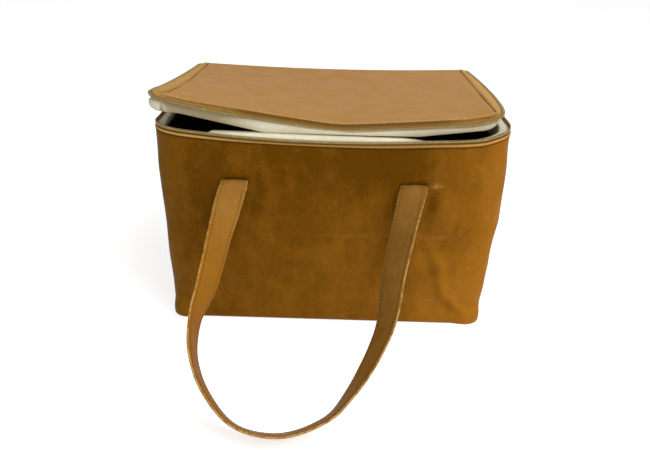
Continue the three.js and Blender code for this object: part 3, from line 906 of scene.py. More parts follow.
@dataclass(frozen=True)
class Wadding:
    """Open white foam inside the walls."""

    name: str
    cell: Colour
    skin: Colour
    cells_per_metre: float = 900.0

    def material(self) -> bpy.types.Material:
        """Makes the material.

        Returns:
            The material.
        """
        g = Surface(self.name)
        cells = g.node("TexVoronoi", feature="DISTANCE_TO_EDGE")
        g.feed(cells.inputs["Vector"], g.place())
        g.feed(cells.inputs["Scale"], self.cells_per_metre)
        wall = g.spread(cells.outputs["Distance"], 0.0, 0.12)
        colour = g.mix(wall, self.skin, self.cell)
        return g.finish(colour, 0.9, g.relief(wall, 0.0002), Subsurface_Weight=0.05)


@dataclass(frozen=True)
class AgedMetal:
    """Plated metal of the slider, rubbed on its faces."""

    name: str
    bright: Colour
    dull: Colour

    def material(self) -> bpy.types.Material:
        """Makes the material.

        Returns:
            The material.
        """
        g = Surface(self.name)
        stain = g.clouds(0.004, 4.0, 0.4)
        colour = g.mix(g.spread(stain, 0.35, 0.75, 0.0, 0.6), self.bright, self.dull)
        scratch = g.clouds(0.0004, 4.0, 0.0, stretch=(1.0, 0.1, 1.0))
        roughness = g.spread(stain, 0.3, 0.7, 0.34, 0.46)
        return g.finish(colour, roughness, g.relief(scratch, 0.00003), Metallic=1.0)


@dataclass
class Finishes:
    """Every finish of the bag, made once and shared by its pieces."""

    body: bpy.types.Material = field(
        default_factory=PaperLeather(
            "kraft_body", dark=srgb(98, 60, 0), light=srgb(166, 107, 26), warm=srgb(118, 80, 20),
            worn=srgb(186, 138, 78), crinkle=0.09, mottle=1.0,
        ).material
    )
    # The lid's worn colour also paints the highlight along its front edge.
    lid: bpy.types.Material = field(
        default_factory=PaperLeather(
            "kraft_lid", dark=srgb(170, 120, 56), light=srgb(198, 148, 84), warm=srgb(190, 138, 60),
            worn=srgb(212, 172, 112), crinkle=0.05, mottle=0.22,
        ).material
    )
    strap: bpy.types.Material = field(
        default_factory=PaperLeather(
            "kraft_strap", dark=srgb(106, 72, 20), light=srgb(172, 124, 58), warm=srgb(168, 106, 10),
            worn=srgb(206, 166, 104), crinkle=0.12, mottle=0.7,
        ).material
    )
    # Of the felt colours, the second paints dirt and shade, and the last the shade far inside the bag.
    felt: bpy.types.Material = field(
        default_factory=Felt(
            "white_felt", clean=srgb(248, 243, 220), soil_and_shade_colour=srgb(178, 160, 126), shaded=srgb(190, 176, 150),
            inner_shade=srgb(26, 18, 10),
        ).material
    )
    wadding: bpy.types.Material = field(
        default_factory=Wadding("wadding", cell=srgb(240, 240, 236), skin=srgb(214, 214, 208)).material
    )
    # The tape's dark colour is the colour of its painted shade.
    tape: bpy.types.Material = field(
        default_factory=WovenTape(
            "zip_tape", yarn=srgb(222, 172, 92), gap=srgb(176, 128, 56), dark=srgb(96, 62, 8)
        ).material
    )
    teeth: bpy.types.Material = field(
        default_factory=CoilPlastic("zip_teeth", body=srgb(140, 116, 56), dust=srgb(176, 158, 104)).material
    )
    thread: bpy.types.Material = field(
        default_factory=Thread("brown_thread", ply=srgb(104, 64, 20), groove=srgb(58, 32, 6)).material
    )
    metal: bpy.types.Material = field(
        default_factory=AgedMetal("zip_metal", bright=srgb(190, 164, 110), dull=srgb(118, 96, 58)).material
    )


def dress(
    piece: bpy.types.Object, material: bpy.types.Material, body: Optional[Body], slot: str, *nodes: str
) -> bpy.types.Object:
    """Gives a piece its finish, and says what it rides on and stands for.

    Args:
        piece: The piece.
        material: Its finish.
        body: The body that it rides on, or None if it bends between two.
        slot: The record's material slot; not used.
        nodes: Solids that it stands for.

    Returns:
        The piece.
    """
    piece.data.materials.append(material)
    if body is not None:
        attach(piece, body.value)
    if nodes:
        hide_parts(*nodes)
    LOG.info("%s: %d points", piece.name, len(piece.data.vertices))
    return piece


@dataclass(frozen=True)
class BagShape:
    """The outline that every layer of the body follows."""

    width: float = 330.0
    depth: float = 215.0
    height: float = 208.0
    base_width: float = 324.0
    rim_radius: float = 32.0
    base_radius: float = 28.0
    front_bow: float = 13.7
    bow_power: float = 1.2
    front_sag: float = 6.0
    slit_height: float = 161.5
    slit_x: Tuple[float, float] = (-88.6, 75.6)
    slit_half_width: float = 12.7
    slit_half_height: float = 1.1
    walls_from: float = 80.0
    foot_narrowing: float = 2.0

    def frontness(self, y: np.ndarray) -> np.ndarray:
        """How much a place belongs to the front face."""
        return ramp(y, -60, -100)

    def middleness(self, x: np.ndarray) -> np.ndarray:
        """How much of the front's bow and sag a place along X has."""
        return np.maximum(0, 1 - (2 * np.asarray(x, float) / self.width) ** 2)

    def line(
        self, u: np.ndarray, inset: float, height: Height, bow: Optional[float] = None
    ) -> Tuple[np.ndarray, np.ndarray]:
        """A line round the body.

        Args:
            u: Places round the loop.
            inset: Distance inside the outer face.
            height: The line's height for the local height of the rim.
            bow: How far the front stands forward at the rim, if not as the outer face does.

        Returns:
            The points and their outward directions, as rows of X, Y and Z.
        """
        # The share of the rim's height sets the width and the corners at this level.
        share = float(np.max(height(np.array(self.height)))) / self.height
        half = self.depth / 2 - inset
        radius = self.base_radius + (self.rim_radius - self.base_radius) * share - inset
        low, high = ramp(np.array(share), 0.18, 0.02), ramp(np.array(share), 0.8, 1)
        half_width = (self.base_width + (self.width - self.base_width) * share) / 2 - inset
        half_width -= self.foot_narrowing * low
        flat, outward = rounded_loop(u, half_width, half, -half, radius, radius)
        # The corners are squarer than an arc, most of all at the foot and on the left.
        squarer = (np.abs(outward) ** 4).sum(axis=1) ** -0.25 - 1
        squarer *= radius * (1 + 0.45 * low - 0.5 * high) * np.where(flat[:, 0] > 0, 0.75, 1.0)
        flat = flat + outward * squarer[:, None]
        x, y = flat[:, 0], flat[:, 1]
        forward = np.maximum(0, -y / half)
        rim = self.height - self.front_sag * self.middleness(x) * forward**2 + self.lift(x, y)
        bow = self.front_bow if bow is None else bow
        push = bow * self.middleness(x) * max(share, 0) ** self.bow_power / (self.depth / 2)
        y = np.where(y < 0, y * (1 + push), y)
        z = height(rim) * np.ones_like(x)
        return np.column_stack([x, y, z]), np.column_stack([outward, np.zeros(len(x))])

    def lift(self, x: np.ndarray, y: np.ndarray) -> np.ndarray:
        """How far the rim is pulled up round the front."""
        front = ramp(y, np.where(x > 0, 60, -74), np.where(x > 0, -40, -100))
        return 2.2 * front - 1.2 * hump(x, 125, 26) * front + 1.8 * ramp(x, 130, 158) * ramp(y, 30, -60)

    def tape_share(self, points: np.ndarray) -> np.ndarray:
        """How much of the rim's tape shows, which is less where the front bows out."""
        return 1 - 0.28 * hump(points[:, 0], -25, 60) * self.frontness(points[:, 1])

    def front_y(self, x: np.ndarray, z: float) -> np.ndarray:
        """Y of the front face at a height."""
        bow = self.front_bow * self.middleness(x) * (z / self.height) ** self.bow_power
        return -(self.depth / 2 + bow)

    def slit_mask(self, points: np.ndarray) -> np.ndarray:
        """How near the strap slits a place is.

        Args:
            points: Places on the walls.

        Returns:
            1 near the slits and 0 away from them, at each place.
        """
        near = np.zeros(points.shape[:-1])
        above = points[..., 2] - self.slit_height
        away = np.where(above > 0, above, np.maximum(0, -above - 24))
        for x in self.slit_x:
            beside = ramp(np.abs(points[..., 0] - x), 32, 18)
            near = np.maximum(near, beside * ramp(away, 34, 14))
        return near * (np.abs(points[..., 1]) > self.walls_from)

    def low_fold(self, points: np.ndarray) -> Tuple[np.ndarray, np.ndarray]:
        """Where places lie beside the fold low on the right of the front.

        Args:
            points: Places on the walls.

        Returns:
            The distance beside the fold, and how much of the fold is near, at each place.
        """
        x, z = points[..., 0], points[..., 2]
        beside = x - np.interp(z, (14.0, 36.0, 78.0, 100.0), (141.0, 118.0, 106.0, 98.0))
        return beside, ramp(z, 8, 18) * ramp(z, 100, 80)

    def corner_push(self, points: np.ndarray) -> np.ndarray:
        """How far the lower corners at the front are pushed out.

        Args:
            points: Places on the walls.

        Returns:
            The distance outward at each place.
        """
        x, y, z = points[..., 0], points[..., 1], points[..., 2]
        front = ramp(y, -76, -97)
        return front * (2.0 * ramp(x, 128, 150) * ramp(z, 26, 6) + 2.0 * ramp(x, -128, -150) * ramp(z, 22, 6))

    def crumple(self, points: np.ndarray) -> np.ndarray:
        """How far use has pushed the walls out of shape.

        Args:
            points: Places on the walls.

        Returns:
            The distance outward at each place.
        """
        x, y, z = points[..., 0], points[..., 1], points[..., 2]
        front = self.frontness(y)
        right = ramp(x, 120, 158)
        calm = ramp(z, 0, 22) * ramp(z, 199, 178)
        wave = 1.2 * clouds(points, 85, 3.1) + 0.5 * clouds(points, 30, 8.7)
        used = 0.4 + 0.6 * ramp(x, 0, 90) * ramp(z, 190, 120)
        ridges = used * 0.9 * (0.5 - np.abs(2 * clouds(points, 52, 5.7)))
        # The level fold at half height, and its end that turns up on the right.
        fold = ramp(x, -30, 20) * ramp(x, 132, 118) * front + 0.5 * (1 - front)
        dents = -0.5 * hump(z, 104.5, 2.6) * fold
        fold_end = ramp(x, 122, 127) * ramp(x, 150, 130) * ramp(z, 84, 97) * ramp(z, 136, 118)
        dents = dents + front * 1.3 * fold_end
        # The slanting fold low on the right, and the bulges and hollows round both folds.
        beside, low = self.low_fold(points)
        dents = dents + front * low * (1.5 * hump(beside, 0, 5) - 1.2 * hump(beside, 13, 7))
        dents = dents + front * 1.2 * hump(x, 84, 16) * hump(z, 56, 15)
        dents = dents - front * hump(x, 140, 12) * hump(z, 78, 14)
        dents = dents + front * 1.4 * hump(x - 0.5 * z, 30, 9) * hump(z, 50, 30)
        dents = dents + right * 3.5 * hump(z, 125, 45) - ramp(x, -130, -160) * 1.5 * hump(z, 112, 26)
        return calm * (wave + ridges + dents) * (1 - self.slit_mask(points))


@dataclass(frozen=True)
class LidShape:
    """The warped lid, which stands ajar and hangs lowest a little right of its middle."""

    half_width: float = 154.0
    back: float = 107.5
    front: float = -107.0
    front_radius: float = 14.0
    back_radius: float = 3.0
    front_bow: float = 3.0
    shift: float = -5.5
    narrowing: float = 0.01
    back_height: float = 213.8
    back_lift: float = 3.6
    dip_height: float = 216.4
    dip_x: float = 8.0
    dip_softness: float = 12.0
    slopes: Tuple[float, float] = (0.137, 0.072)
    corner_lift: float = 2.6
    pad_slopes: Tuple[float, float] = (0.2, 0.12)
    pad_flat_half: float = 69.0
    pad_back: float = 208.4
    pad_front: float = 205.2
    curl: float = 1.3
    left_lift: float = 1.8
    left_sag: float = 0.7
    sheet: float = 1.5

    def loop(self, u: np.ndarray, inset: float) -> Tuple[np.ndarray, np.ndarray]:
        """The lid's outline.

        Args:
            u: Places round the loop.
            inset: Distance inside the edge.

        Returns:
            The points and their outward directions, as rows of X and Y.
        """
        flat, outward = rounded_loop(
            u,
            self.half_width - inset,
            self.back - inset,
            self.front + inset,
            max(self.back_radius - inset, 0.2),
            max(self.front_radius - inset, 1.0),
        )
        share = (self.back - flat[:, 1]) / (self.back - self.front)
        bow = self.front_bow * np.maximum(0, 1 - (flat[:, 0] / self.half_width) ** 2) * share**2
        x = flat[:, 0] * (1 - self.narrowing * share) + self.shift * share
        return np.column_stack([x, flat[:, 1] - bow]), outward

    def between(self, y: np.ndarray, back: np.ndarray, front: np.ndarray) -> np.ndarray:
        """A height between those of the back and front edges."""
        share = np.clip((self.back - y) / (self.back - self.front), 0, 1)
        return back + (front - back) * share**self.curl

    def top(self, x: np.ndarray, y: np.ndarray) -> np.ndarray:
        """Height of the lid's upper face.

        Args:
            x: X of the places.
            y: Y of the places.

        Returns:
            The height at each place.
        """
        away = np.hypot(x - self.dip_x, self.dip_softness) - self.dip_softness
        front = self.dip_height + np.where(x < self.dip_x, *self.slopes) * away
        front = front + self.corner_lift * ramp(x, 116, 146)
        back = self.back_height + self.back_lift * (x / self.half_width) ** 2
        left = ramp(x, -125, -156) * (self.left_lift * ramp(y, -40, -92) - self.left_sag * hump(y, 20, 70))
        return self.between(y, back, front) + left

    def pad_bottom(self, x: np.ndarray, y: np.ndarray) -> np.ndarray:
        """Height of the pad's underside.

        Args:
            x: X of the places.
            y: Y of the places.

        Returns:
            The height at each place.
        """
        away = np.maximum(0, np.abs(x - self.dip_x) - self.pad_flat_half)
        front = self.pad_front + np.where(x < self.dip_x, *self.pad_slopes) * away
        return self.between(y, np.full_like(front, self.pad_back), front)

    def rings(
        self, u: np.ndarray, inset: float, shares: Sequence[float], height: Callable[..., np.ndarray]
    ) -> Tuple[np.ndarray, np.ndarray]:
        """Rings of points over the lid, from an outline towards its middle.

        Args:
            u: Places round the loop.
            inset: Distance of the outline inside the edge.
            shares: Size of each ring.
            height: Height at X and Y.

        Returns:
            The rings, and the middle point.
        """
        flat, _ = self.loop(u, inset)
        middle = np.array([self.shift / 2, (self.back + self.front) / 2])
        made = []
        for share in shares:
            ring = middle + (flat - middle) * share
            made.append(np.column_stack([ring, height(ring[:, 0], ring[:, 1])]))
        centre = np.array([*middle, float(height(middle[:1], middle[1:])[0])])
        return np.array(made), centre


@dataclass
class OuterShell:
    """The outer paper-leather: the wrap round the walls and the base panel."""

    shape: BagShape
    finishes: Finishes
    sheet: float = 1.5
    top_drop: float = 7.0
    tape_top: float = 2.75
    edge_roll: float = 2.2
    front_dip: float = 2.25
    corner_at_slits: float = 31.1
    counts: Tuple[int, ...] = (46, 14, 50, 16, 96, 16, 50, 14, 46)
    rows: int = 66

    def marks(self) -> List[float]:
        """Finds where the slits begin and end.

        Returns:
            Their places round the loop.
        """
        reach = self.shape.width / 2 - self.corner_at_slits
        made = []
        for x in self.shape.slit_x:
            for edge in (x - self.shape.slit_half_width, x + self.shape.slit_half_width):
                made.append(4 + (edge + reach) / (2 * reach))
                made.append(-edge / reach if edge < 0 else STRETCHES - edge / reach)
        return made

    def slit_rows(self) -> Dict[Side, Tuple[float, float]]:
        """Shares of the wall's height where the slits lie.

        Returns:
            The lower and upper share on each face.
        """
        low = self.shape.slit_height - self.shape.slit_half_height
        high = self.shape.slit_height + self.shape.slit_half_height
        return {side: (low / self.wall_height(side), high / self.wall_height(side)) for side in Side}

    def wall_height(self, side: Side) -> float:
        """Height of the wall's top beside the slits."""
        return self.shape.height - self.top_drop - (self.front_dip if side is Side.FRONT else 0.0)

    def grid(self, u: np.ndarray, levels: np.ndarray, inset: float) -> np.ndarray:
        """Points on one face of the wall.

        Args:
            u: Places round the loop.
            levels: Shares of the wall's height.
            inset: Distance inside the outer face.

        Returns:
            Rows of points.
        """
        rows = []
        plan, _ = self.shape.line(u, inset, lambda rim: rim)
        drop = self.tape_top + (self.top_drop - self.tape_top) * self.shape.tape_share(plan)
        for level in levels:
            points, outward = self.shape.line(u, inset, lambda rim, t=level: t * (rim - drop))
            wall = np.where(points[:, 1] < 0, self.wall_height(Side.FRONT), self.wall_height(Side.BACK))
            points[:, 2] += (level * wall - points[:, 2]) * self.shape.slit_mask(points)
            tuck = self.edge_roll * (1 - ramp(points[:, 2], 0, self.edge_roll * 1.6)) ** 2
            push = self.shape.crumple(points) + self.shape.corner_push(points) - tuck
            rows.append(points + outward * push[:, None])
        return np.array(rows)

    def wear(self, points: np.ndarray) -> np.ndarray:
        """How rubbed the sheet is.

        Args:
            points: Places on the sheet.

        Returns:
            The wear at each place, from 0 to 1.
        """
        x, y, z = points[..., 0], points[..., 1], points[..., 2]
        front = self.shape.frontness(y)
        # Rubbed along the level fold and its end, by the right slit and on the folds lower down.
        fold = hump(z, 105.3, 1.1) * (0.15 * ramp(x, -40, 10) + 0.35 * hump(x, 104, 18)) * ramp(x, 128, 122)
        corner = hump(x, 124.5, 1.2) * ramp(z, 96, 101) * ramp(z, 124, 112)
        scuff = 0.7 * hump(x, 98, 4.5) * hump(z, 161, 2.2) + 0.5 * hump(x, 85, 3) * hump(z, 109, 2)
        low = 0.3 * hump(x, 104, 10) * hump(z, 31, 1.3) + 0.3 * hump(x, 132, 1.6) * hump(z, 40, 14)
        low = low + 0.25 * hump(z - 0.3 * x, 4, 1.2) * hump(x, 8, 16)
        sides = (1 - front) * 0.3 * hump(z, 104.5, 1.2)
        return np.clip(front * (fold + 0.2 * corner + scuff + low) + sides + 0.2 * ramp(z, 4, 1), 0, 1)

    def tone(self, points: np.ndarray) -> np.ndarray:
        """How light the sheet is: its uneven colour, with painted light and shade.

        Args:
            points: Places on the sheet.

        Returns:
            The tone at each place, from 0 to 1.
        """
        x, y, z = points[..., 0], points[..., 1], points[..., 2]
        front = self.shape.frontness(y)
        # Darkest at the upper left, and lighter towards the foot and the right: partly the sheet's uneven
        # colour, partly painted shade under the rim, painted light on the right, and painted light and shade
        # on the dents and folds there.
        face = 0.08 + 0.18 * ramp(x, -120, -30) * ramp(z, 195, 120) + 0.16 * ramp(z, 120, 10)
        face = face + 0.34 * ramp(x, 66, 112) + 0.28 * ramp(x, 122, 158) + 0.12 * ramp(x, -128, -150)
        face = face - 0.16 * hump(x, 50, 34) * hump(z, 184, 26) + 0.14 * hump(x, 62, 26) * hump(z, 40, 30)
        face = face - 0.2 * ramp(x, 126, 121) * ramp(x, 84, 100) * hump(z, 114, 20)
        face = face + 0.12 * hump(x, 92, 10) * hump(z, 84, 16) - 0.12 * hump(x, 108, 12) * hump(z, 62, 18)
        # Painted light and shade on either side of the low fold.
        beside, low = self.shape.low_fold(points)
        shading = 0.2 * hump(beside, 6, 6) - 0.2 * hump(beside, -5, 5) + 0.14 * hump(beside, 19, 5)
        face = face + low * shading
        # Painted shadow of the straps round the slits: beside each strap's top and just above it.
        for slit in self.shape.slit_x:
            face = face - 0.3 * hump(x, slit - 16, 8) * hump(z, 150, 18)
            shade = 0.38 if slit > 0 else 0.25
            face = face - shade * hump(x, slit + 19, 8) * hump(z, 142, 16)
            face = face - 0.25 * hump(x, slit, 16) * hump(z, 164, 4)
        side = 0.25 + 0.65 * ramp(x, -90, 130)
        return front * face + (1 - front) * side

    def build(self) -> None:
        """Makes the wrap and the base panel."""
        shape = self.shape
        u = stations(self.counts, self.marks())
        slits = self.slit_rows()
        marks = sorted({round(v, 5) for pair in slits.values() for v in pair})
        even = np.concatenate([[0, 0.004, 0.009, 0.015], np.linspace(0.024, 1, self.rows)])
        levels = np.sort(np.array([v for v in even if min(abs(v - m) for m in marks) > TOO_CLOSE] + marks))
        rows = self.grid(u, levels, 0)
        centre = (rows[:-1] + np.roll(rows[:-1], -1, axis=1)) / 2
        skip = np.zeros(centre.shape[:2], bool)
        for side, (low, high) in slits.items():
            band = (levels[:-1] > low - 1e-4) & (levels[:-1] < high - 1e-4)
            for x in shape.slit_x:
                beside = np.abs(centre[..., 0] - x) < shape.slit_half_width - 0.2
                skip |= band[:, None] & beside & (centre[..., 1] * side.value > shape.walls_from)
        mould = Mould()
        warmth = 0.6 * ramp(rows[..., 0], -128, -158) * ramp(rows[..., 1], 60, -60)
        mould.grid(rows, around=True, skip=skip, tone=self.tone(rows), wear=self.wear(rows), warmth=warmth)
        wrap = mould.build("outer_wrap")
        thicken = wrap.modifiers.new("sheet", "SOLIDIFY")
        thicken.thickness = self.sheet * MM
        thicken.offset = -1.0
        dress(wrap, self.finishes.body, Body.BODY, "kraft_body", "outer_wall")
        self.build_base()

    def build_base(self) -> None:
        """Makes the base panel."""
        u = stations(FLOOR_STEPS)
        edge = [(4.2, 0.0), (3.0, 0.1), (2.4, 0.5), (2.3, 1.0), (2.9, 1.4), (4.0, 1.5)]
        lines = []
        for inset, z in edge:
            line, outward = self.shape.line(u, inset, lambda rim, z=z: 0 * rim + z)
            lines.append(line + outward * self.shape.corner_push(line)[:, None])
        mould = flat_layer(lines, (0.85, 0.6, 0.3))
        count = mould.count
        mould.values = {
            "tone": [np.full(count, 0.35)],
            "warmth": [np.zeros(count)],
            "wear": [0.4 * ramp(np.concatenate(mould.points)[:, 2], 0.4, 0.1)],
        }
        base = dress(mould.build("base_panel"), self.finishes.body, Body.BODY, "kraft_body", "outer_base")


@dataclass
class Insulation:
    """The foam panels between the outer sheet and the lining."""

    shape: BagShape
    finishes: Finishes
    outer: float = 1.8
    inner: float = 6.8
    floor: float = 7.1
    top_drop: float = 5.2
    joint: float = 0.006
    lining_bow: float = 4.0
    seams: Tuple[Tuple[str, float, float], ...] = (
        ("left", 1.6, 3.6), ("front", 3.6, 5.6), ("right", 5.6, 7.6), ("back", 7.6, 10.6),
    )

    def inner_bow(self, level: float) -> float:
        """How far the inner face bows forward, which is less towards the top of the lining."""
        return self.shape.front_bow + (self.lining_bow - self.shape.front_bow) * level**3

    def pressed(self, points: np.ndarray) -> np.ndarray:
        """How far the strap ends press into the foam.

        Args:
            points: Places on the foam.

        Returns:
            The distance inward at each place.
        """
        depth = np.zeros(points.shape[:-1])
        level = ramp(points[..., 2], 123, 126) * ramp(points[..., 2], 167, 164)
        for x in self.shape.slit_x:
            beside = ramp(np.abs(points[..., 0] - x), 15.5, 13.2)
            depth = np.maximum(depth, beside * level)
        return 3.2 * depth * (np.abs(points[..., 1]) > self.shape.walls_from)

    def build(self) -> None:
        """Makes the five panels."""
        levels = np.linspace(0, 1, 34)
        for place, start, end in self.seams:
            count = 64 if end - start < 2.5 else 90  # the back panel is the longest
            u = np.linspace(start + self.joint, end - self.joint, count) % STRETCHES
            rows = []
            for inset, order in ((self.outer, levels), (self.inner, levels[::-1])):
                for level in order:
                    points, outward = self.shape.line(
                        u,
                        inset,
                        lambda rim, t=level: self.floor + t * (rim - self.top_drop - self.floor),
                        None if inset == self.outer else self.inner_bow(level),
                    )
                    # The top stays below the ledge, which is lowest at the front corners.
                    low = ramp(np.abs(points[:, 0] + 10), 90, 104) * ramp(points[:, 1], -70, -95)
                    sunk = level * (self.shape.lift(points[:, 0], points[:, 1]) + 4.5 * low)
                    points[:, 2] -= sunk
                    push = self.shape.crumple(points)
                    if inset == self.outer:
                        push = push - self.pressed(points)
                    rows.append(points + outward * push[:, None])
            mould = Mould()
            mould.grid(np.array(rows).transpose(1, 0, 2), around=True, caps=True)
            pad = mould.build(f"foam_{place}_panel")
            dress(pad, self.finishes.wadding, Body.BODY, "wadding", f"foam_{place}")
        self.build_floor()

    def build_floor(self) -> None:
        """Makes the panel on the base."""
        u = stations(FLOOR_STEPS)
        edge = [(3.0, 1.8), (1.9, 2.8), (1.8, 4.3), (1.9, 5.8), (3.0, 6.7)]
        lines = [self.shape.line(u, inset + 1.0, lambda rim, z=z: 0 * rim + z)[0] for inset, z in edge]
        mould = flat_layer(lines, (0.5,))
        pad = dress(mould.build("foam_base_panel"), self.finishes.wadding, Body.BODY, "wadding", "foam_base")


@dataclass
class Lining:
    """The white felt inside, whose upper edge makes a ledge behind the front of the rim."""

    shape: BagShape
    finishes: Finishes
    outer: float = 7.1
    inner: float = 7.9
    flange_edge: float = 2.1
    floor: float = 7.1
    bow: float = 4.0
    drop: float = 3.2
    wall_top: float = 200.0
    back_top: float = 204.2
    front_top: float = 200.5
    front_rise: float = 4.6

    def ledge(self, points: np.ndarray) -> np.ndarray:
        """Height of the lining's inner edge.

        Args:
            points: Places on the edge.

        Returns:
            The height at each place.
        """
        x, y = points[:, 0], points[:, 1]
        front = ramp(y, -70, -98)
        high = np.interp(x, (-117, -109, -104, -40, 62, 74, 84), (0, 0.95, 1, 1, 0.7, 0.45, 0))
        corner = 2.6 * ramp(x, 132, 156) * ramp(y, 0, -70)
        return (1 - front) * self.back_top + front * (self.front_top + self.front_rise * high) + corner

    def build(self) -> None:
        """Makes the felt of the walls and of the floor."""
        u = stations((40, 16, 44, 18, 110, 18, 44, 16, 40))
        shape = self.shape
        edge, _ = shape.line(u, self.inner, lambda rim: 0 * rim + 204.0, self.bow)
        top = self.ledge(edge)
        flange, _ = shape.line(u, self.flange_edge, lambda rim: rim - self.drop)

        def wall(inset: float, share: float, lower: float) -> np.ndarray:
            """A line on one face of the felt, this far below the ledge at share 1."""
            level = self.floor + share * (self.wall_top - self.floor)
            made, out = shape.line(u, inset, lambda rim: 0 * rim + level, self.bow)
            made[:, 2] = self.floor + share * (top - lower - self.floor)
            return made + out * shape.crumple(made)[:, None]

        shares = np.linspace(0, 1, 30)
        wrinkle = clouds(edge, 16, 5.0)
        lines = [wall(self.outer, s, 0.8) for s in shares]
        lines.append(flange - (0, 0, 0.8))
        lines.append(flange + (0, 0, -0.2))
        outer_count = len(lines)
        # The ledge puffs up from the rim, and leans inward at the right front.
        rise = np.maximum(0, top - flange[:, 2])
        flap = ramp(edge[:, 0], 112, 140) * ramp(edge[:, 1], -20, -80)
        for share, puff in ((0.06, 0.25), (0.14, 0.5), (0.24, 0.62), (0.38, 0.58), (0.55, 0.42), (0.8, 0.18)):
            mixed = flange * (1 - share) + edge * share
            puffed = puff * (rise + 0.9) * (1 + 0.15 * wrinkle)
            mixed[:, 2] = flange[:, 2] * (1 - share) + top * share + puffed
            mixed += flap[:, None] * np.array([-5.0, 5.0, 1.0]) * share
            lines.append(mixed)
        ledge_count = len(lines)
        lines += [wall(self.inner, s, 0.3) for s in shares[::-1]]
        rows = np.array(lines)
        # Painted shade: the white felt turns dark from a little below the ledge, and from lower down at the
        # right front.
        below = top[None, :] - rows[..., 2]
        bright = ramp(rows[..., 0], 120, 150) * ramp(rows[..., 1], 20, -60)
        depth = ramp(below, 2.0 + 9.0 * bright, 7.0 + 12.0 * bright)
        depth[:ledge_count] = 0
        soil = np.zeros(rows.shape[:2])
        # Painted warm shade on the ledge next to the rim.
        soil[outer_count:ledge_count] = np.array([0.3, 0.12, 0.0, 0.0, 0.0, 0.0])[:, None]
        mould = Mould()
        mould.grid(rows, around=True, closed=True, depth=depth, soil=soil)
        felt = dress(mould.build("felt_wall"), self.finishes.felt, Body.BODY, "white_felt", "lining_wall")
        self.build_floor()

    def build_floor(self) -> None:
        """Makes the felt of the floor."""
        u = stations(FLOOR_STEPS)
        edge = [(9.4, 7.1), (8.4, 7.3), (8.4, 7.7), (9.4, 7.9)]
        lines = [self.shape.line(u, inset, lambda rim, z=z: 0 * rim + z)[0] for inset, z in edge]
        mould = flat_layer(lines, (0.8, 0.5, 0.2))
        # The floor felt is painted dark all over, as shade far inside the bag.
        mould.values = {"depth": [np.ones(mould.count)], "soil": [np.zeros(mould.count)]}
        felt = dress(mould.build("felt_floor"), self.finishes.felt, Body.BODY, "white_felt", "lining_base")


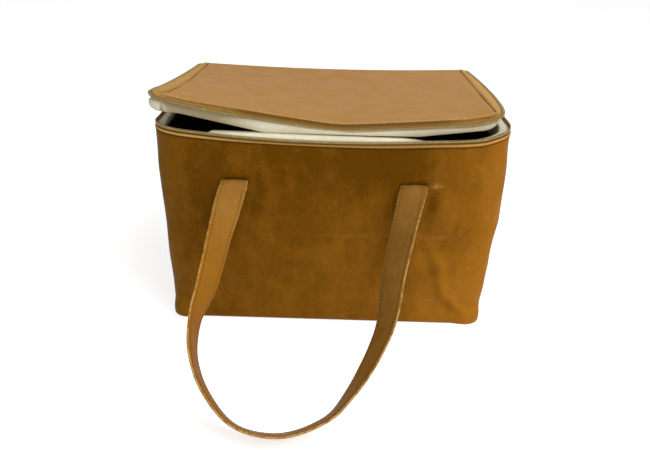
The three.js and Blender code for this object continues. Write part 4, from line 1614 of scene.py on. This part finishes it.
@dataclass
class RimZip:
    """The half of the zip that is sewn to the rim, and the fold at the back."""

    shape: BagShape
    finishes: Finishes
    start: float = 1.4
    end: float = 7.6
    pitch: float = 2.0
    tape: Tuple[Tuple[float, float], ...] = (
        (-1.58, -13.5), (-1.58, -6.9), (-0.2, -6.6), (0.3, -6.2), (0.5, -5.5), (0.35, -4.7), (-0.1, -4.2),
        (-0.8, -4.0), (-1.0, -3.5), (-0.8, -3.0), (-0.4, -2.8), (-1.78, -2.75), (-1.78, -13.5),
    )
    fold_foot: float = 201.3
    fold_height: float = 6.7
    fold_middle: float = 4.1
    fold_bulge: float = 0.9
    fold_sheet: float = 1.4
    # Painted shade along the tape's outline: in the seam line above the wall and in the groove below the
    # teeth.
    groove: Tuple[float, ...] = (0.0, 0.0, 0.9, 0.1, 0.0, 0.0, 0.5, 1.0, 1.0, 1.0, 0.6, 0.0, 0.0)
    coil: Tuple[Tuple[float, float], ...] = (
        (-0.1, -2.4), (-0.1, -1.5), (-0.4, -1.2), (-1.4, -1.2), (-1.7, -1.5), (-1.7, -2.4),
    )

    def track(self, drop: float = 0.0, count: int = 520) -> Track:
        """A line along the rim.

        Args:
            drop: Distance below the teeth's tips.
            count: How many points it has.

        Returns:
            The line.
        """
        u = np.linspace(self.start, self.end, count) % STRETCHES
        points, outward = self.shape.line(u, 0, lambda rim: rim)
        points[:, 2] -= drop * self.shape.tape_share(points)
        return Track(points, outward, np.tile((0.0, 0.0, 1.0), (count, 1)))

    def dull(self, points: np.ndarray) -> np.ndarray:
        """Painted shade on the tape where the lid's front shades it."""
        x = points[:, 0]
        return 0.42 * ramp(x, -130, -60) * ramp(x, 150, 70) * self.shape.frontness(points[:, 1])

    def build(self) -> None:
        """Makes the tape, the teeth and the seam."""
        track = self.track()
        mould = Mould()
        track.strip(mould, self.tape, 2.5, self.shape.tape_share, self.groove, self.dull)
        tape = dress(mould.build("rim_tape"), self.finishes.tape, Body.BODY, "zip_tape", "rim_zip_tape")
        mould = Mould()
        track.strip(mould, self.coil, 2.5)
        mould.values.clear()
        row_of_teeth(
            mould, track, aside=-0.9, up=-2.4, upright=True,
            pitch=self.pitch, length=1.3, thickness=1.6, height=2.4,
        )
        dress(mould.build("rim_teeth"), self.finishes.teeth, Body.BODY, "zip_teeth", "rim_zip_teeth")
        mould = Mould()
        row_of_stitches(mould, self.track(7.6), aside=0.12, up=0.0, pitch=2.6, length=2.1, radius=0.3)
        dress(mould.build("rim_seam"), self.finishes.thread, Body.BODY, "kraft_body")

    def build_fold(self) -> None:
        """Makes the fold that joins the wrap to the lid at the back."""
        u = np.linspace(self.end + 0.02, STRETCHES + self.start - 0.02, 120) % STRETCHES
        outer, outward = self.shape.line(u, 0, lambda rim: rim - 7.7)
        reach = ramp(np.abs(outer[:, 0]), 149, 134)
        lines = []
        heights = np.linspace(0, 1, 12)
        for inset, order in ((0.0, heights), (self.fold_sheet, heights[::-1])):
            for share in order:
                z = self.fold_foot + share * (self.fold_height + self.fold_middle * reach)
                bulge = self.fold_bulge * np.sin(math.pi * share) * reach
                line = outer + outward * (bulge - inset)[:, None]
                line[:, 2] = z
                lines.append(line)
        rows = np.array(lines).transpose(1, 0, 2)
        shape = rows.shape[:2]
        mould = Mould()
        wear = 0.5 * hump(rows[..., 2], 208, 2.0)
        tone, warmth = np.full(shape, 0.5), np.zeros(shape)
        mould.grid(rows, around=True, caps=True, tone=tone, warmth=warmth, wear=wear)
        fold = dress(mould.build("back_fold"), self.finishes.body, None, "kraft_body", "lid_hinge_band")
        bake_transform(fold)


@dataclass
class Lid:
    """The padded lid with its half of the zip."""

    shape: LidShape
    finishes: Finishes
    start: float = 2.0
    end: float = 7.0
    pitch: float = 2.0
    side_flare: float = 4.0
    lip_flare: float = 36.0
    front_flare: float = 93.0
    lap: float = 4.0
    gap: float = 0.3
    tape_thickness: float = 1.2
    pad_steps: Tuple[int, ...] = (40, 6, 56, 16, 110, 16, 56, 6, 40)
    lip: Tuple[Tuple[float, float], ...] = (
        (1.0, 1.25), (2.4, 1.2), (3.1, 0.9), (3.5, 0.45), (4.0, 0.4), (4.0, 0.0), (0.3, 0.0),
    )
    coil: Tuple[Tuple[float, float], ...] = (
        (3.95, 0.1), (4.8, 0.1), (4.95, 0.35), (4.95, 0.85), (4.8, 1.1), (3.95, 1.1),
    )
    woven: Tuple[float, float] = (0.75, 0.02)  # metres of weave along and across the tape

    def build(self) -> None:
        """Makes the sheet, the pad and the zip."""
        self.build_sheet()
        self.build_pad()
        self.build_foam()
        self.build_zip()

    def build_sheet(self) -> None:
        """Makes the lid's outer sheet, with rolled edges."""
        shape = self.shape
        u = stations((40, 6, 56, 14, 90, 14, 56, 6, 40))

        def surface(x: np.ndarray, y: np.ndarray) -> np.ndarray:
            """The upper face, a little uneven."""
            places = np.column_stack([x, y, np.zeros_like(x)])
            return shape.top(x, y) + 0.35 * clouds(places, 45, 2.2) * ramp(np.abs(y), 106, 90)

        # Distances inside the edge and heights above the upper face, from the edge inward.
        over = [(0.0, -0.75), (0.12, -0.35), (0.5, -0.06), (1.2, 0.0)]
        rings = []
        shares = np.linspace(1, 0.06, 30)
        top, middle = shape.rings(u, 1.2, shares, surface)
        bottom, under = shape.rings(u, 1.2, shares[::3], lambda x, y: shape.top(x, y) - shape.sheet)
        rings += list(top[::-1])
        for inset, drop in over[::-1][1:]:
            flat, _ = shape.loop(u, inset)
            rings.append(np.column_stack([flat, shape.top(flat[:, 0], flat[:, 1]) + drop]))
        flat, _ = shape.loop(u, 0.3)
        rings.append(np.column_stack([flat, shape.top(flat[:, 0], flat[:, 1]) - 1.35]))
        rings += list(bottom)
        mould = Mould()
        mould.closed_stack(middle, np.array(rings), under)
        points = np.concatenate(mould.points)
        x, y = points[:, 0], points[:, 1]
        front_edge = -106.5 - 3 * (1 - (x / 158) ** 2)
        upper = points[:, 2] > shape.top(x, y) - 0.5
        # The light line along the top of the front edge is a painted highlight.
        mould.values = {
            "tone": [0.48 + 0.02 * ramp(x, -80, 120) - 0.04 * ramp(y, 20, 105)],
            "warmth": [0.4 * ramp(x, 20, -150) * ramp(y, 60, -80)],
            "wear": [0.5 * hump(y, front_edge, 2.5) * upper],
        }
        sheet = dress(mould.build("lid_sheet"), self.finishes.lid, Body.LID, "kraft_lid", "lid_panel")

    def build_pad(self) -> None:
        """Makes the felt pad under the lid."""
        shape = self.shape
        u = stations(self.pad_steps)

        def level(inset: float, share: float) -> np.ndarray:
            """A ring on the pad's side.

            Args:
                inset: Distance inside the lid's edge.
                share: Its height, from the underside at 0 to the sheet at 1.

            Returns:
                The points.
            """
            flat, outward = shape.loop(u, inset)
            x, y = flat[:, 0], flat[:, 1]
            low, high = shape.pad_bottom(x, y), shape.top(x, y) - shape.sheet - 0.3
            bulge = ramp(share, 0, 0.3) * ramp(share, 0.95, 0.6)
            uneven = clouds(np.column_stack([flat, low]), 28, 1.3)
            puff = bulge * (0.9 + 0.5 * uneven) - 0.9 * ramp(share, 0.45, 0.8)
            left = ramp(share, -0.12, 0.14) * ramp(share, 0.95, 0.6) * ramp(x, -134, -150) * ramp(y, 60, -60)
            moved = flat + outward * puff[:, None] - left[:, None] * (6.2, 2.0)
            return np.column_stack([moved, low + (high - low) * share - 1.2 * left * (1 - share)])

        shares = np.linspace(1, 0.1, 10)
        bottom, under = shape.rings(u, 3.2, shares, shape.pad_bottom)
        top, over = shape.rings(u, 2.0, shares[::2], lambda x, y: shape.top(x, y) - shape.sheet - 0.3)
        profile = (
            (0.15, 1.0), (0.1, 0.9), (0.1, 0.8), (0.0, 0.7), (0.0, 0.6), (0.0, 0.5),
            (0.0, 0.4), (0.2, 0.3), (0.6, 0.18), (1.2, 0.09), (2.0, 0.03),
        )
        side = [level(inset, share) for inset, share in profile]
        mould = Mould()
        mould.closed_stack(over, np.array(list(top[::-1]) + side + list(bottom)), under)
        x, y, z = np.concatenate(mould.points).T
        low, high = shape.pad_bottom(x, y), shape.top(x, y) - shape.sheet
        share = np.clip((z - low) / (high - low), 0, 1)
        # The pad is a little darker all over, with painted shade: on its front strong at the left but for its
        # tip, milder at the right, all round towards its top, and in a crease at its left end.
        front = ramp(y, -82, -102)
        shadow = 0.85 * ramp(x, -60, -110) + 0.42 * ramp(x, 40, 100) - 0.72 * ramp(x, -142, -154)
        crease = 0.8 * hump(x, -150, 0.9) * ramp(share, 0.6, 0.2) * ramp(y, -90, -100)
        shade = 0.18 * ramp(x, -149, -142) * ramp(x, -50, -110) * ramp(share, 0.1, 0.6) * front
        soil = np.clip(0.2 + shadow * front + 0.35 * ramp(share, 0.3, 0.8) + crease, 0, 1)
        mould.values = {"soil": [soil], "depth": [0.6 * crease + shade]}
        pad = dress(mould.build("lid_pad"), self.finishes.felt, Body.LID, "white_felt", "lid_lining")

    def build_foam(self) -> None:
        """Makes the foam inside the pad."""
        shape = self.shape
        u = stations(self.pad_steps)
        mould = Mould()
        shares = np.linspace(1, 0.25, 4)
        bottom, under = shape.rings(u, 4.5, shares, lambda x, y: shape.pad_bottom(x, y) + 1.2)
        top, over = shape.rings(u, 4.5, shares, lambda x, y: shape.top(x, y) - shape.sheet - 0.6)
        mould.closed_stack(over, np.concatenate([top[::-1], bottom]), under)
        foam = dress(mould.build("lid_foam_pad"), self.finishes.wadding, Body.LID, "wadding", "lid_foam")

    def line(self, start: float, end: float, count: int) -> Tuple[np.ndarray, ...]:
        """The line where the tape leaves the edge of the sheet.

        Args:
            start: Place round the lid where it starts.
            end: Place where it ends.
            count: How many points it has.

        Returns:
            The points, the outward directions, the directions across and out of the tape, and
            the shares of the front's and of the turned-down shape that each point has.
        """
        flat, outward = self.shape.loop(np.linspace(start, end, count), 0.0)
        forward = ramp(-outward[:, 1], 0, 1)
        turned = forward * ramp(flat[:, 0], -136, -72) * (1 - 0.5 * ramp(flat[:, 0], 90, 145))
        flare = self.side_flare + (self.lip_flare - self.side_flare) * forward
        flare = np.radians(flare + (self.front_flare - self.lip_flare) * turned)[:, None]
        out = np.column_stack([outward, np.zeros(count)])
        up = np.array([0.0, 0.0, 1.0])
        side, face = out * np.cos(flare) - up * np.sin(flare), out * np.sin(flare) + up * np.cos(flare)
        height = self.shape.top(flat[:, 0], flat[:, 1]) - self.tape_thickness
        away = (self.gap + self.slack(flat))[:, None]
        return np.column_stack([flat, height]) + out * away, out, side, face, np.stack([forward, turned])

    def slack(self, flat: np.ndarray) -> np.ndarray:
        """How far the tape bulges out beside the lid's edges.

        Args:
            flat: Places on the edge, whose first two columns are X and Y.

        Returns:
            The distance outward at each place.
        """
        x, y = flat[:, 0], flat[:, 1]
        bulge = np.maximum(0, 1 - (y / 106) ** 2)
        right = 5.4 * bulge * ramp(x, 100, 140) - 2.0 * ramp(x, 132, 150) * ramp(y, -70, -104)
        left = (2.0 + 1.5 * bulge) * ramp(x, -100, -140) * ramp(y, 112, 96) * ramp(y, -108, -60)
        return right + left

    def cover(self, points: np.ndarray, forward: np.ndarray) -> np.ndarray:
        """How far the tape laps over the sheet, which is widest at the left front corner.

        Args:
            points: Places on the line where the tape leaves the sheet.
            forward: How much each place faces the front.

        Returns:
            The distance inward at each place.
        """
        corner = hump(points[:, 0], -165, 11) * hump(points[:, 1], -108, 36)
        lap = self.lap * np.where(points[:, 0] < 0, 1.0 + 1.5 * ramp(points[:, 1], 95, -60), 0.8)
        return lap * (1 - ramp(forward, 0.05, 0.8)) + 1.5 * corner + self.slack(points)

    def on_sheet(
        self, points: np.ndarray, out: np.ndarray, aside: np.ndarray, rise: np.ndarray
    ) -> np.ndarray:
        """Points beside a line, at a height that follows the sheet.

        Args:
            points: Places on the line.
            out: Its outward directions.
            aside: Distance outward.
            rise: Distance above the line where the sheet is level.

        Returns:
            The points.
        """
        moved = points + out * np.reshape(aside, (-1, 1))
        fall = self.shape.top(moved[:, 0], moved[:, 1]) - self.shape.top(points[:, 0], points[:, 1])
        moved[:, 2] += rise + fall
        return moved

    def tape_rows(self, count: int = 420) -> Dict[str, np.ndarray]:
        """Sections of the tape, which laps over the sheet at the sides and hangs at the front.

        Args:
            count: How many sections there are.

        Returns:
            The rows of points, and what they carry.
        """
        points, out, side, face, (forward, turned) = self.line(self.start, self.end, count)
        front = ramp(forward, 0.05, 0.8)
        lap = self.cover(points, forward)
        high = 1.8 - 0.9 * front + 0.9 * hump(lap * front, 9, 5)

        def level(aside: np.ndarray, rise: np.ndarray) -> np.ndarray:
            """Points beside the line, above the sheet."""
            return self.on_sheet(points, out, aside, rise)

        rows = [
            level(-6.0, -0.45), level(-6.0, -0.3), level(-0.35, -0.12), level(-0.1, high - 0.45),
            level(-lap - 0.1, high - 0.45), level(-lap, high), level(-lap / 2, high + 0.1), level(0.0, high),
        ]
        rows += [points + side * aside + face * up for aside, up in self.lip]
        made = np.array(rows).transpose(1, 0, 2)
        # Painted shade on the tape: where it hangs turned down at the front and at the left front corner, in
        # the groove by the teeth, and along the inner edge of the lap.
        hidden = np.maximum(turned, 0.8 * forward * ramp(points[:, 0], -158, -138))
        hanging = np.array([0.0] * 7 + [0.95, 0.9, 0.6, 0.25] + [0.0] * 4) * hidden[:, None]
        groove = np.array([0.0] * 10 + [0.3, 0.9, 0.9, 0.9, 0.0]) * (1 - turned)[:, None]
        seam = np.array([0.0] * 4 + [1.0, 0.4] + [0.0] * 9) * (1 - front)[:, None]
        weave = np.zeros(made.shape)
        weave[..., 0] = np.linspace(0, self.woven[0], count)[:, None]
        weave[..., 1] = np.linspace(0, self.woven[1], made.shape[1])
        return {"rows": made, "shade": hanging + groove + seam, "weave": weave}

    def build_zip(self) -> None:
        """Makes the tape, the teeth and the seams."""
        mould = Mould()
        mould.grid(around=True, caps=True, **self.tape_rows())
        tape = dress(mould.build("lid_tape"), self.finishes.tape, Body.LID, "zip_tape", "lid_zip_tape")
        points, _, side, face, _ = self.line(self.start, self.end, 560)
        track = Track(points, side, face)
        mould = Mould()
        track.strip(mould, self.coil, 2.5)
        mould.values.clear()
        row_of_teeth(
            mould, track, aside=4.3, up=0.6, upright=False,
            pitch=self.pitch, length=1.3, thickness=1.2, height=2.4,
        )
        dress(mould.build("lid_teeth"), self.finishes.teeth, Body.LID, "zip_teeth", "lid_zip_teeth")
        mould = Mould()
        up = np.tile((0.0, 0.0, 1.0), (200, 1))
        for start, end in ((self.start, 3.25), (5.7, self.end)):
            points, out, _, _, (forward, _) = self.line(start, end, 200)
            lap = self.cover(points, forward)
            seam = Track(self.on_sheet(points, out, -lap - 0.2, self.tape_thickness), out, up)
            row_of_stitches(mould, seam, aside=0.0, up=0.1, pitch=2.6, length=2.3, radius=0.3)
        dress(mould.build("lid_seams"), self.finishes.thread, Body.LID, "kraft_lid")


@dataclass
class Strap:
    """A flat handle of folded paper-leather, sewn along both edges."""

    shape: BagShape
    finishes: Finishes
    side: Side
    width: float = 25.0
    thickness: float = 2.5
    slope: float = 44.4
    tail: float = 35.0
    seam: float = 9.4
    sunk: float = 3.1
    bend: float = 5.5
    joined_at: float = 7.0
    section_step: float = 2.2
    # Share of the length, tone and warmth along the strap: partly its uneven colour, partly painted shade on
    # the right leg, whose face is turned from the light.
    dye_and_shade: Tuple[Tuple[float, float, float], ...] = (
        (0.0, 0.3, 0.1), (0.06, 0.52, 0.05), (0.12, 0.66, 0.3), (0.2, 0.58, 0.6), (0.35, 0.53, 0.75),
        (0.48, 0.8, 0.35), (0.6, 0.5, 0.45), (0.72, 0.3, 0.1), (0.85, 0.36, 0.0), (0.93, 0.38, 0.0),
        (1.0, 0.34, 0.0),
    )
    route: Tuple[Tuple[float, float, float], ...] = (
        (-88.6, 0, 0), (-97.2, 49, 42), (-105.0, 97, 56), (-112.5, 127, 79), (-110, 160, 87), (-94, 191, 88),
        (-71, 211.5, 90), (-33, 217, 85), (2.5, 203, 82), (18, 186.5, 75), (31, 167, 66), (49, 128, 55),
        (57.0, 80, 37), (69.0, 28, 25), (75.6, 0, 0),
    )

    def axis_y(self) -> float:
        """Y of the line that the handle turns about."""
        name = f"{self.side.name.lower()}_handle_swing"
        return next(joint["pos_m"][1] for joint in frame["joints"] if joint["name"] == name) / MM

    def wall_y(self, x: float, z: float) -> float:
        """Distance of the strap's wall from the middle of the bag."""
        front = abs(float(self.shape.front_y(np.array(x), z)))
        return front if self.side is Side.FRONT else self.shape.depth / 2

    def loop(self) -> Tuple[np.ndarray, np.ndarray]:
        """The loop outside the slits.

        Returns:
            The points and the facing directions.
        """
        sign = self.side.value
        slope = math.radians(self.slope)
        down = np.array([0, sign * math.cos(slope), -math.sin(slope)])
        face = np.array([0, sign * math.sin(slope), math.cos(slope)])
        start = np.array([0, self.axis_y(), self.shape.slit_height])
        knots = np.array([start + (x, 0, 0) + down * along for x, along, _ in self.route])
        points, knot = smooth_curve(knots, 24)
        twist = np.radians(np.interp(knot, np.arange(len(knots)), [t for _, _, t in self.route]))
        along = unit(np.gradient(points, axis=0))
        inward = sign * np.cross(along, face)
        facing = face * np.cos(twist)[:, None] + inward * np.sin(twist)[:, None]
        return points, facing

    def end_points(self, x: float) -> np.ndarray:
        """Points of a strap end, from its foot inside the wall to the loop.

        Args:
            x: Place of the slit.

        Returns:
            The points.
        """
        z = self.shape.slit_height
        wall, reach = self.wall_y(x, z), abs(self.axis_y())
        inside, down = wall - self.sunk, self.bend * math.sqrt(0.5)
        levels = z - np.linspace(self.tail, self.bend, 8)
        flat = [np.array([self.wall_y(x, level) - self.sunk, level]) for level in levels]
        for corner in (
            ((inside, z - 5.0), (inside, z), (wall + 0.2, z)),
            ((wall + 0.4, z), (reach + 0.4, z + 1.6), (reach + down, z - down)),
        ):
            a, b, c = np.array(corner)
            flat += [(1 - t) ** 2 * a + 2 * t * (1 - t) * b + t * t * c for t in np.linspace(0, 1, 7)]
        return np.array([(x, self.side.value * y, height) for y, height in flat])

    def track(self) -> Track:
        """The whole strap's middle line, ends included.

        Returns:
            The line.
        """
        points, facing = self.loop()
        sign = self.side.value
        cut = np.linalg.norm(points - points[0], axis=1) > self.joined_at
        cut &= np.linalg.norm(points - points[-1], axis=1) > self.joined_at
        loop, loop_face = points[cut], facing[cut]
        x_axis = np.array([1.0, 0, 0])
        parts, faces = [], []
        for leg, x in ((1, self.shape.slit_x[0]), (-1, self.shape.slit_x[1])):
            end = self.end_points(x)
            along = unit(np.gradient(end, axis=0))
            face = -sign * np.cross(along, x_axis)
            parts.append(end if leg == 1 else end[::-1])
            faces.append(face if leg == 1 else face[::-1])
        line = np.concatenate([parts[0], loop, parts[1]])
        face = np.concatenate([faces[0], loop_face, faces[1]])
        keep = np.concatenate([[True], np.linalg.norm(np.diff(line, axis=0), axis=1) > 0.3])
        rough = Track(line[keep], face[keep], face[keep])
        line, face, _ = rough.at(np.linspace(0, rough.length, round(rough.length / 1.4)))
        line, face = eased(line, 3), eased(face, 14)
        along = unit(np.gradient(line, axis=0))
        side = unit(np.cross(along, face))
        return Track(line, side, unit(np.cross(side, along)))

    def section(self) -> np.ndarray:
        """The outline across the strap.

        Returns:
            Its distances aside and up.
        """
        half = self.width / 2
        wide = np.array([-1.0, -0.985, -0.93, -0.85, -0.79, -0.75, -0.71, -0.62, -0.4, 0.0])
        thick = np.array([0.0, 0.45, 0.8, 0.95, 0.86, 0.78, 0.86, 0.98, 1.0, 1.0])
        wide = np.concatenate([wide, -wide[-2::-1]])
        thick = np.concatenate([thick, thick[-2::-1]]) * self.thickness / 2
        upper = np.column_stack([wide * half, thick])
        lower = np.column_stack([wide[-2:0:-1] * half, -thick[-2:0:-1]])
        return np.concatenate([upper, lower])

    def build(self) -> None:
        """Makes the strap and its two seams."""
        name = self.side.name.lower()
        handle = f"{name}_handle"
        track = self.track()
        distance = np.linspace(0, track.length, round(track.length / self.section_step))
        points, side, face = track.at(distance)
        section = self.section()
        # The edges wander a little, the strap puckers near its right end and buckles at both slits.
        loose = 0.35 * clouds(points, 22, 4.0)
        share = distance[:, None] / track.length
        across = section[None, :, 0] / (self.width / 2)
        edge = np.abs(across)
        pucker = 0.7 * np.sin(across * 9 + 1) * hump(distance[:, None], track.length - self.tail - 9, 7)
        places = points[:, None] + side[:, None] * section[None, :, :1]
        bend = hump(np.minimum(distance, track.length - distance), self.tail + 7, 6)[:, None]
        lift = loose[:, None] * edge**2 + pucker + 1.4 * bend * clouds(places, 7, 3.3)
        rows = places + face[:, None] * (section[None, :, 1] + lift)[..., None]
        marks, tones_and_shades, warmths = np.array(self.dye_and_shade).T
        tone = np.interp(share, marks, tones_and_shades) + 0 * across
        warmth = np.interp(share, marks, warmths) + 0 * across
        wear = 0.8 * ramp(edge, 0.93, 0.99) + 0 * share
        mould = Mould()
        mould.grid(rows, around=True, caps=True, tone=tone, warmth=warmth, wear=wear)
        strap = mould.build(f"{name}_strap")
        tails = [f"{name}_strap_tail_{end}" for end in ("left", "right")]
        dress(strap, self.finishes.strap, None, "kraft_strap", handle, *tails)
        mould = Mould()
        for aside in (-self.seam, self.seam):
            for turned in (False, True):
                up = self.thickness / 2 * 0.8 * (-1 if turned else 1)
                row_of_stitches(mould, track, aside, up, pitch=3.3, length=2.1, radius=0.3, turned=turned)
        seams = dress(mould.build(f"{name}_strap_seams"), self.finishes.thread, None, "kraft_strap")
        for piece in (strap, seams):
            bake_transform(piece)
        LOG.info("%s strap: %.0f mm long", name, track.length)


def eased(rows: np.ndarray, passes: int) -> np.ndarray:
    """Draws rows towards their neighbours, with the ends kept.

    Args:
        rows: The rows.
        passes: How many times.

    Returns:
        The new rows.
    """
    for _ in range(passes):
        rows = np.concatenate([rows[:1], (rows[:-2] + 2 * rows[1:-1] + rows[2:]) / 4, rows[-1:]])
    return rows


def smooth_curve(knots: np.ndarray, steps: int) -> Tuple[np.ndarray, np.ndarray]:
    """A centripetal curve through some knots.

    Args:
        knots: The knots.
        steps: Steps between two knots.

    Returns:
        The points, and the place of each among the knots.
    """
    line = np.concatenate([[2 * knots[0] - knots[1]], knots, [2 * knots[-1] - knots[-2]]])
    points, places = [], []
    for k in range(1, len(line) - 2):
        p = line[k - 1 : k + 3]
        t = np.concatenate([[0], np.cumsum(np.sqrt(np.linalg.norm(np.diff(p, axis=0), axis=1)))])
        last = k == len(line) - 3
        for s in np.linspace(0, 1, steps + 1)[: None if last else -1]:
            x = t[1] + s * (t[2] - t[1])
            a = [((t[i + 1] - x) * p[i] + (x - t[i]) * p[i + 1]) / (t[i + 1] - t[i]) for i in range(3)]
            b = [((t[i + 2] - x) * a[i] + (x - t[i]) * a[i + 1]) / (t[i + 2] - t[i]) for i in range(2)]
            points.append(((t[2] - x) * b[0] + (x - t[1]) * b[1]) / (t[2] - t[1]))
            places.append(k - 1 + s)
    return np.array(points), np.array(places)


@dataclass
class Slider:
    """The zip's slider and pull, which keep their solids."""

    finishes: Finishes
    bevel: float = 0.22

    def build(self) -> None:
        """Rounds the edges and gives both their finish."""
        for name in ("zip_slider", "zip_pull"):
            node = frame["nodes"][name]
            node.data.materials.clear()
            node.data.materials.append(self.finishes.metal)
            edge = node.modifiers.new("edge", "BEVEL")
            edge.width = self.bevel * MM
            edge.segments = 3
            edge.limit_method = "ANGLE"
            LOG.info("%s: edges rounded", name)


@dataclass
class Studio:
    """The floor, the lights and the camera."""

    floor_size: float = 30.0
    floor_grey: float = 0.86
    floor_glow: float = 0.6
    sky: float = 0.42
    sky_seen: float = 0.58
    lamps: Tuple[Tuple[str, Colour, float, float], ...] = (
        ("key", (0.75, -0.55, 1.35), 1.1, 12.0),
        ("fill", (0.1, -1.75, 0.5), 1.3, 10.0),
    )
    aim_height: float = 0.12
    camera_place: Tuple[float, float, float] = (-0.0021, -0.6096, 0.3802)
    pitch: float = 27.93
    yaw: float = -0.288
    roll: float = 1.543
    lens: float = 32.60

    def build(self) -> None:
        """Makes the whole studio."""
        self.build_camera()
        self.build_floor()
        self.build_lights()

    def build_camera(self) -> None:
        """Makes the camera at the photograph's place."""
        pitch, yaw, roll = (math.radians(v) for v in (self.pitch, self.yaw, self.roll))
        ahead = Vector((math.sin(yaw) * math.cos(pitch), math.cos(yaw) * math.cos(pitch), -math.sin(pitch)))
        right = Vector((math.cos(yaw), -math.sin(yaw), 0))
        up = right.cross(ahead)
        side = right * math.cos(roll) + up * math.sin(roll)
        top = up * math.cos(roll) - right * math.sin(roll)
        turn = Matrix((side, top, -ahead)).transposed().to_4x4()
        camera = bpy.data.objects.new("camera", bpy.data.cameras.new("camera"))
        camera.matrix_world = Matrix.Translation(self.camera_place) @ turn
        camera.data.lens = self.lens
        camera.data.clip_start = 0.01
        camera.data.clip_end = 100.0
        bpy.context.scene.collection.objects.link(camera)
        bpy.context.scene.camera = camera
        LOG.info("camera placed")

    def build_floor(self) -> None:
        """Makes a pale floor that keeps the bag's shadow."""
        half = self.floor_size / 2
        mesh = bpy.data.meshes.new("floor")
        corners = [(-half, -half, 0), (half, -half, 0), (half, half, 0), (-half, half, 0)]
        mesh.from_pydata(corners, [], [(0, 1, 2, 3)])
        floor = bpy.data.objects.new("floor", mesh)
        bpy.context.scene.collection.objects.link(floor)
        g = Graph(bpy.data.materials.new("pale_floor"))
        matt = g.node("BsdfDiffuse")
        g.feed(matt.inputs["Color"], (self.floor_grey,) * 3)
        glow = g.node("Emission")
        glow.inputs["Color"].default_value = (1.0, 1.0, 1.0, 1.0)
        g.feed(glow.inputs["Strength"], g.maths("MULTIPLY", seen_directly(g), self.floor_glow))
        both = g.node("AddShader")
        g.feed(both.inputs[0], matt.outputs[0])
        g.feed(both.inputs[1], glow.outputs[0])
        g.feed(g.node("OutputMaterial").inputs["Surface"], both.outputs[0])
        mesh.materials.append(g.owner)
        LOG.info("floor laid")

    def build_lights(self) -> None:
        """Makes the sky and two large soft lamps."""
        world = bpy.data.worlds.new("studio")
        bpy.context.scene.world = world
        g = Graph(world)
        back = g.node("Background")
        back.inputs["Color"].default_value = (1.0, 1.0, 1.0, 1.0)
        seen = g.maths("MULTIPLY", seen_directly(g), self.sky_seen)
        g.feed(back.inputs["Strength"], g.maths("ADD", seen, self.sky))
        out = g.node("OutputWorld")
        g.feed(out.inputs["Surface"], back.outputs[0])
        for name, place, size, power in self.lamps:
            lamp = bpy.data.lights.new(name, "AREA")
            lamp.size = size
            lamp.energy = power
            holder = bpy.data.objects.new(name, lamp)
            holder.location = place
            aim = Vector((0, 0, self.aim_height)) - Vector(place)
            holder.rotation_euler = aim.to_track_quat("-Z", "Y").to_euler()
            bpy.context.scene.collection.objects.link(holder)
        bpy.context.scene.view_settings.view_transform = "Standard"
        LOG.info("lights placed")


def seen_directly(g: Graph) -> Socket:
    """1 for rays from the camera, and for mirror and glass rays, and 0 for the rest.

    Args:
        g: The material's nodes.

    Returns:
        The socket.
    """
    path = g.node("LightPath")
    some = g.maths("MAXIMUM", path.outputs["Is Camera Ray"], path.outputs["Is Glossy Ray"])
    return g.maths("MAXIMUM", some, path.outputs["Is Transmission Ray"])


def main() -> None:
    """Builds the studio and the bag, piece by piece."""
    logging.basicConfig(level=logging.INFO, format="%(message)s")
    Studio().build()
    finishes = Finishes()
    bag, lid = BagShape(), LidShape()
    rim = RimZip(bag, finishes)
    rim.build()
    OuterShell(bag, finishes).build()
    Insulation(bag, finishes).build()
    Lining(bag, finishes).build()
    rim.build_fold()
    Lid(lid, finishes).build()
    for side in Side:
        Strap(bag, finishes, side).build()
    Slider(finishes).build()


if __name__ == "__main__":
    main()
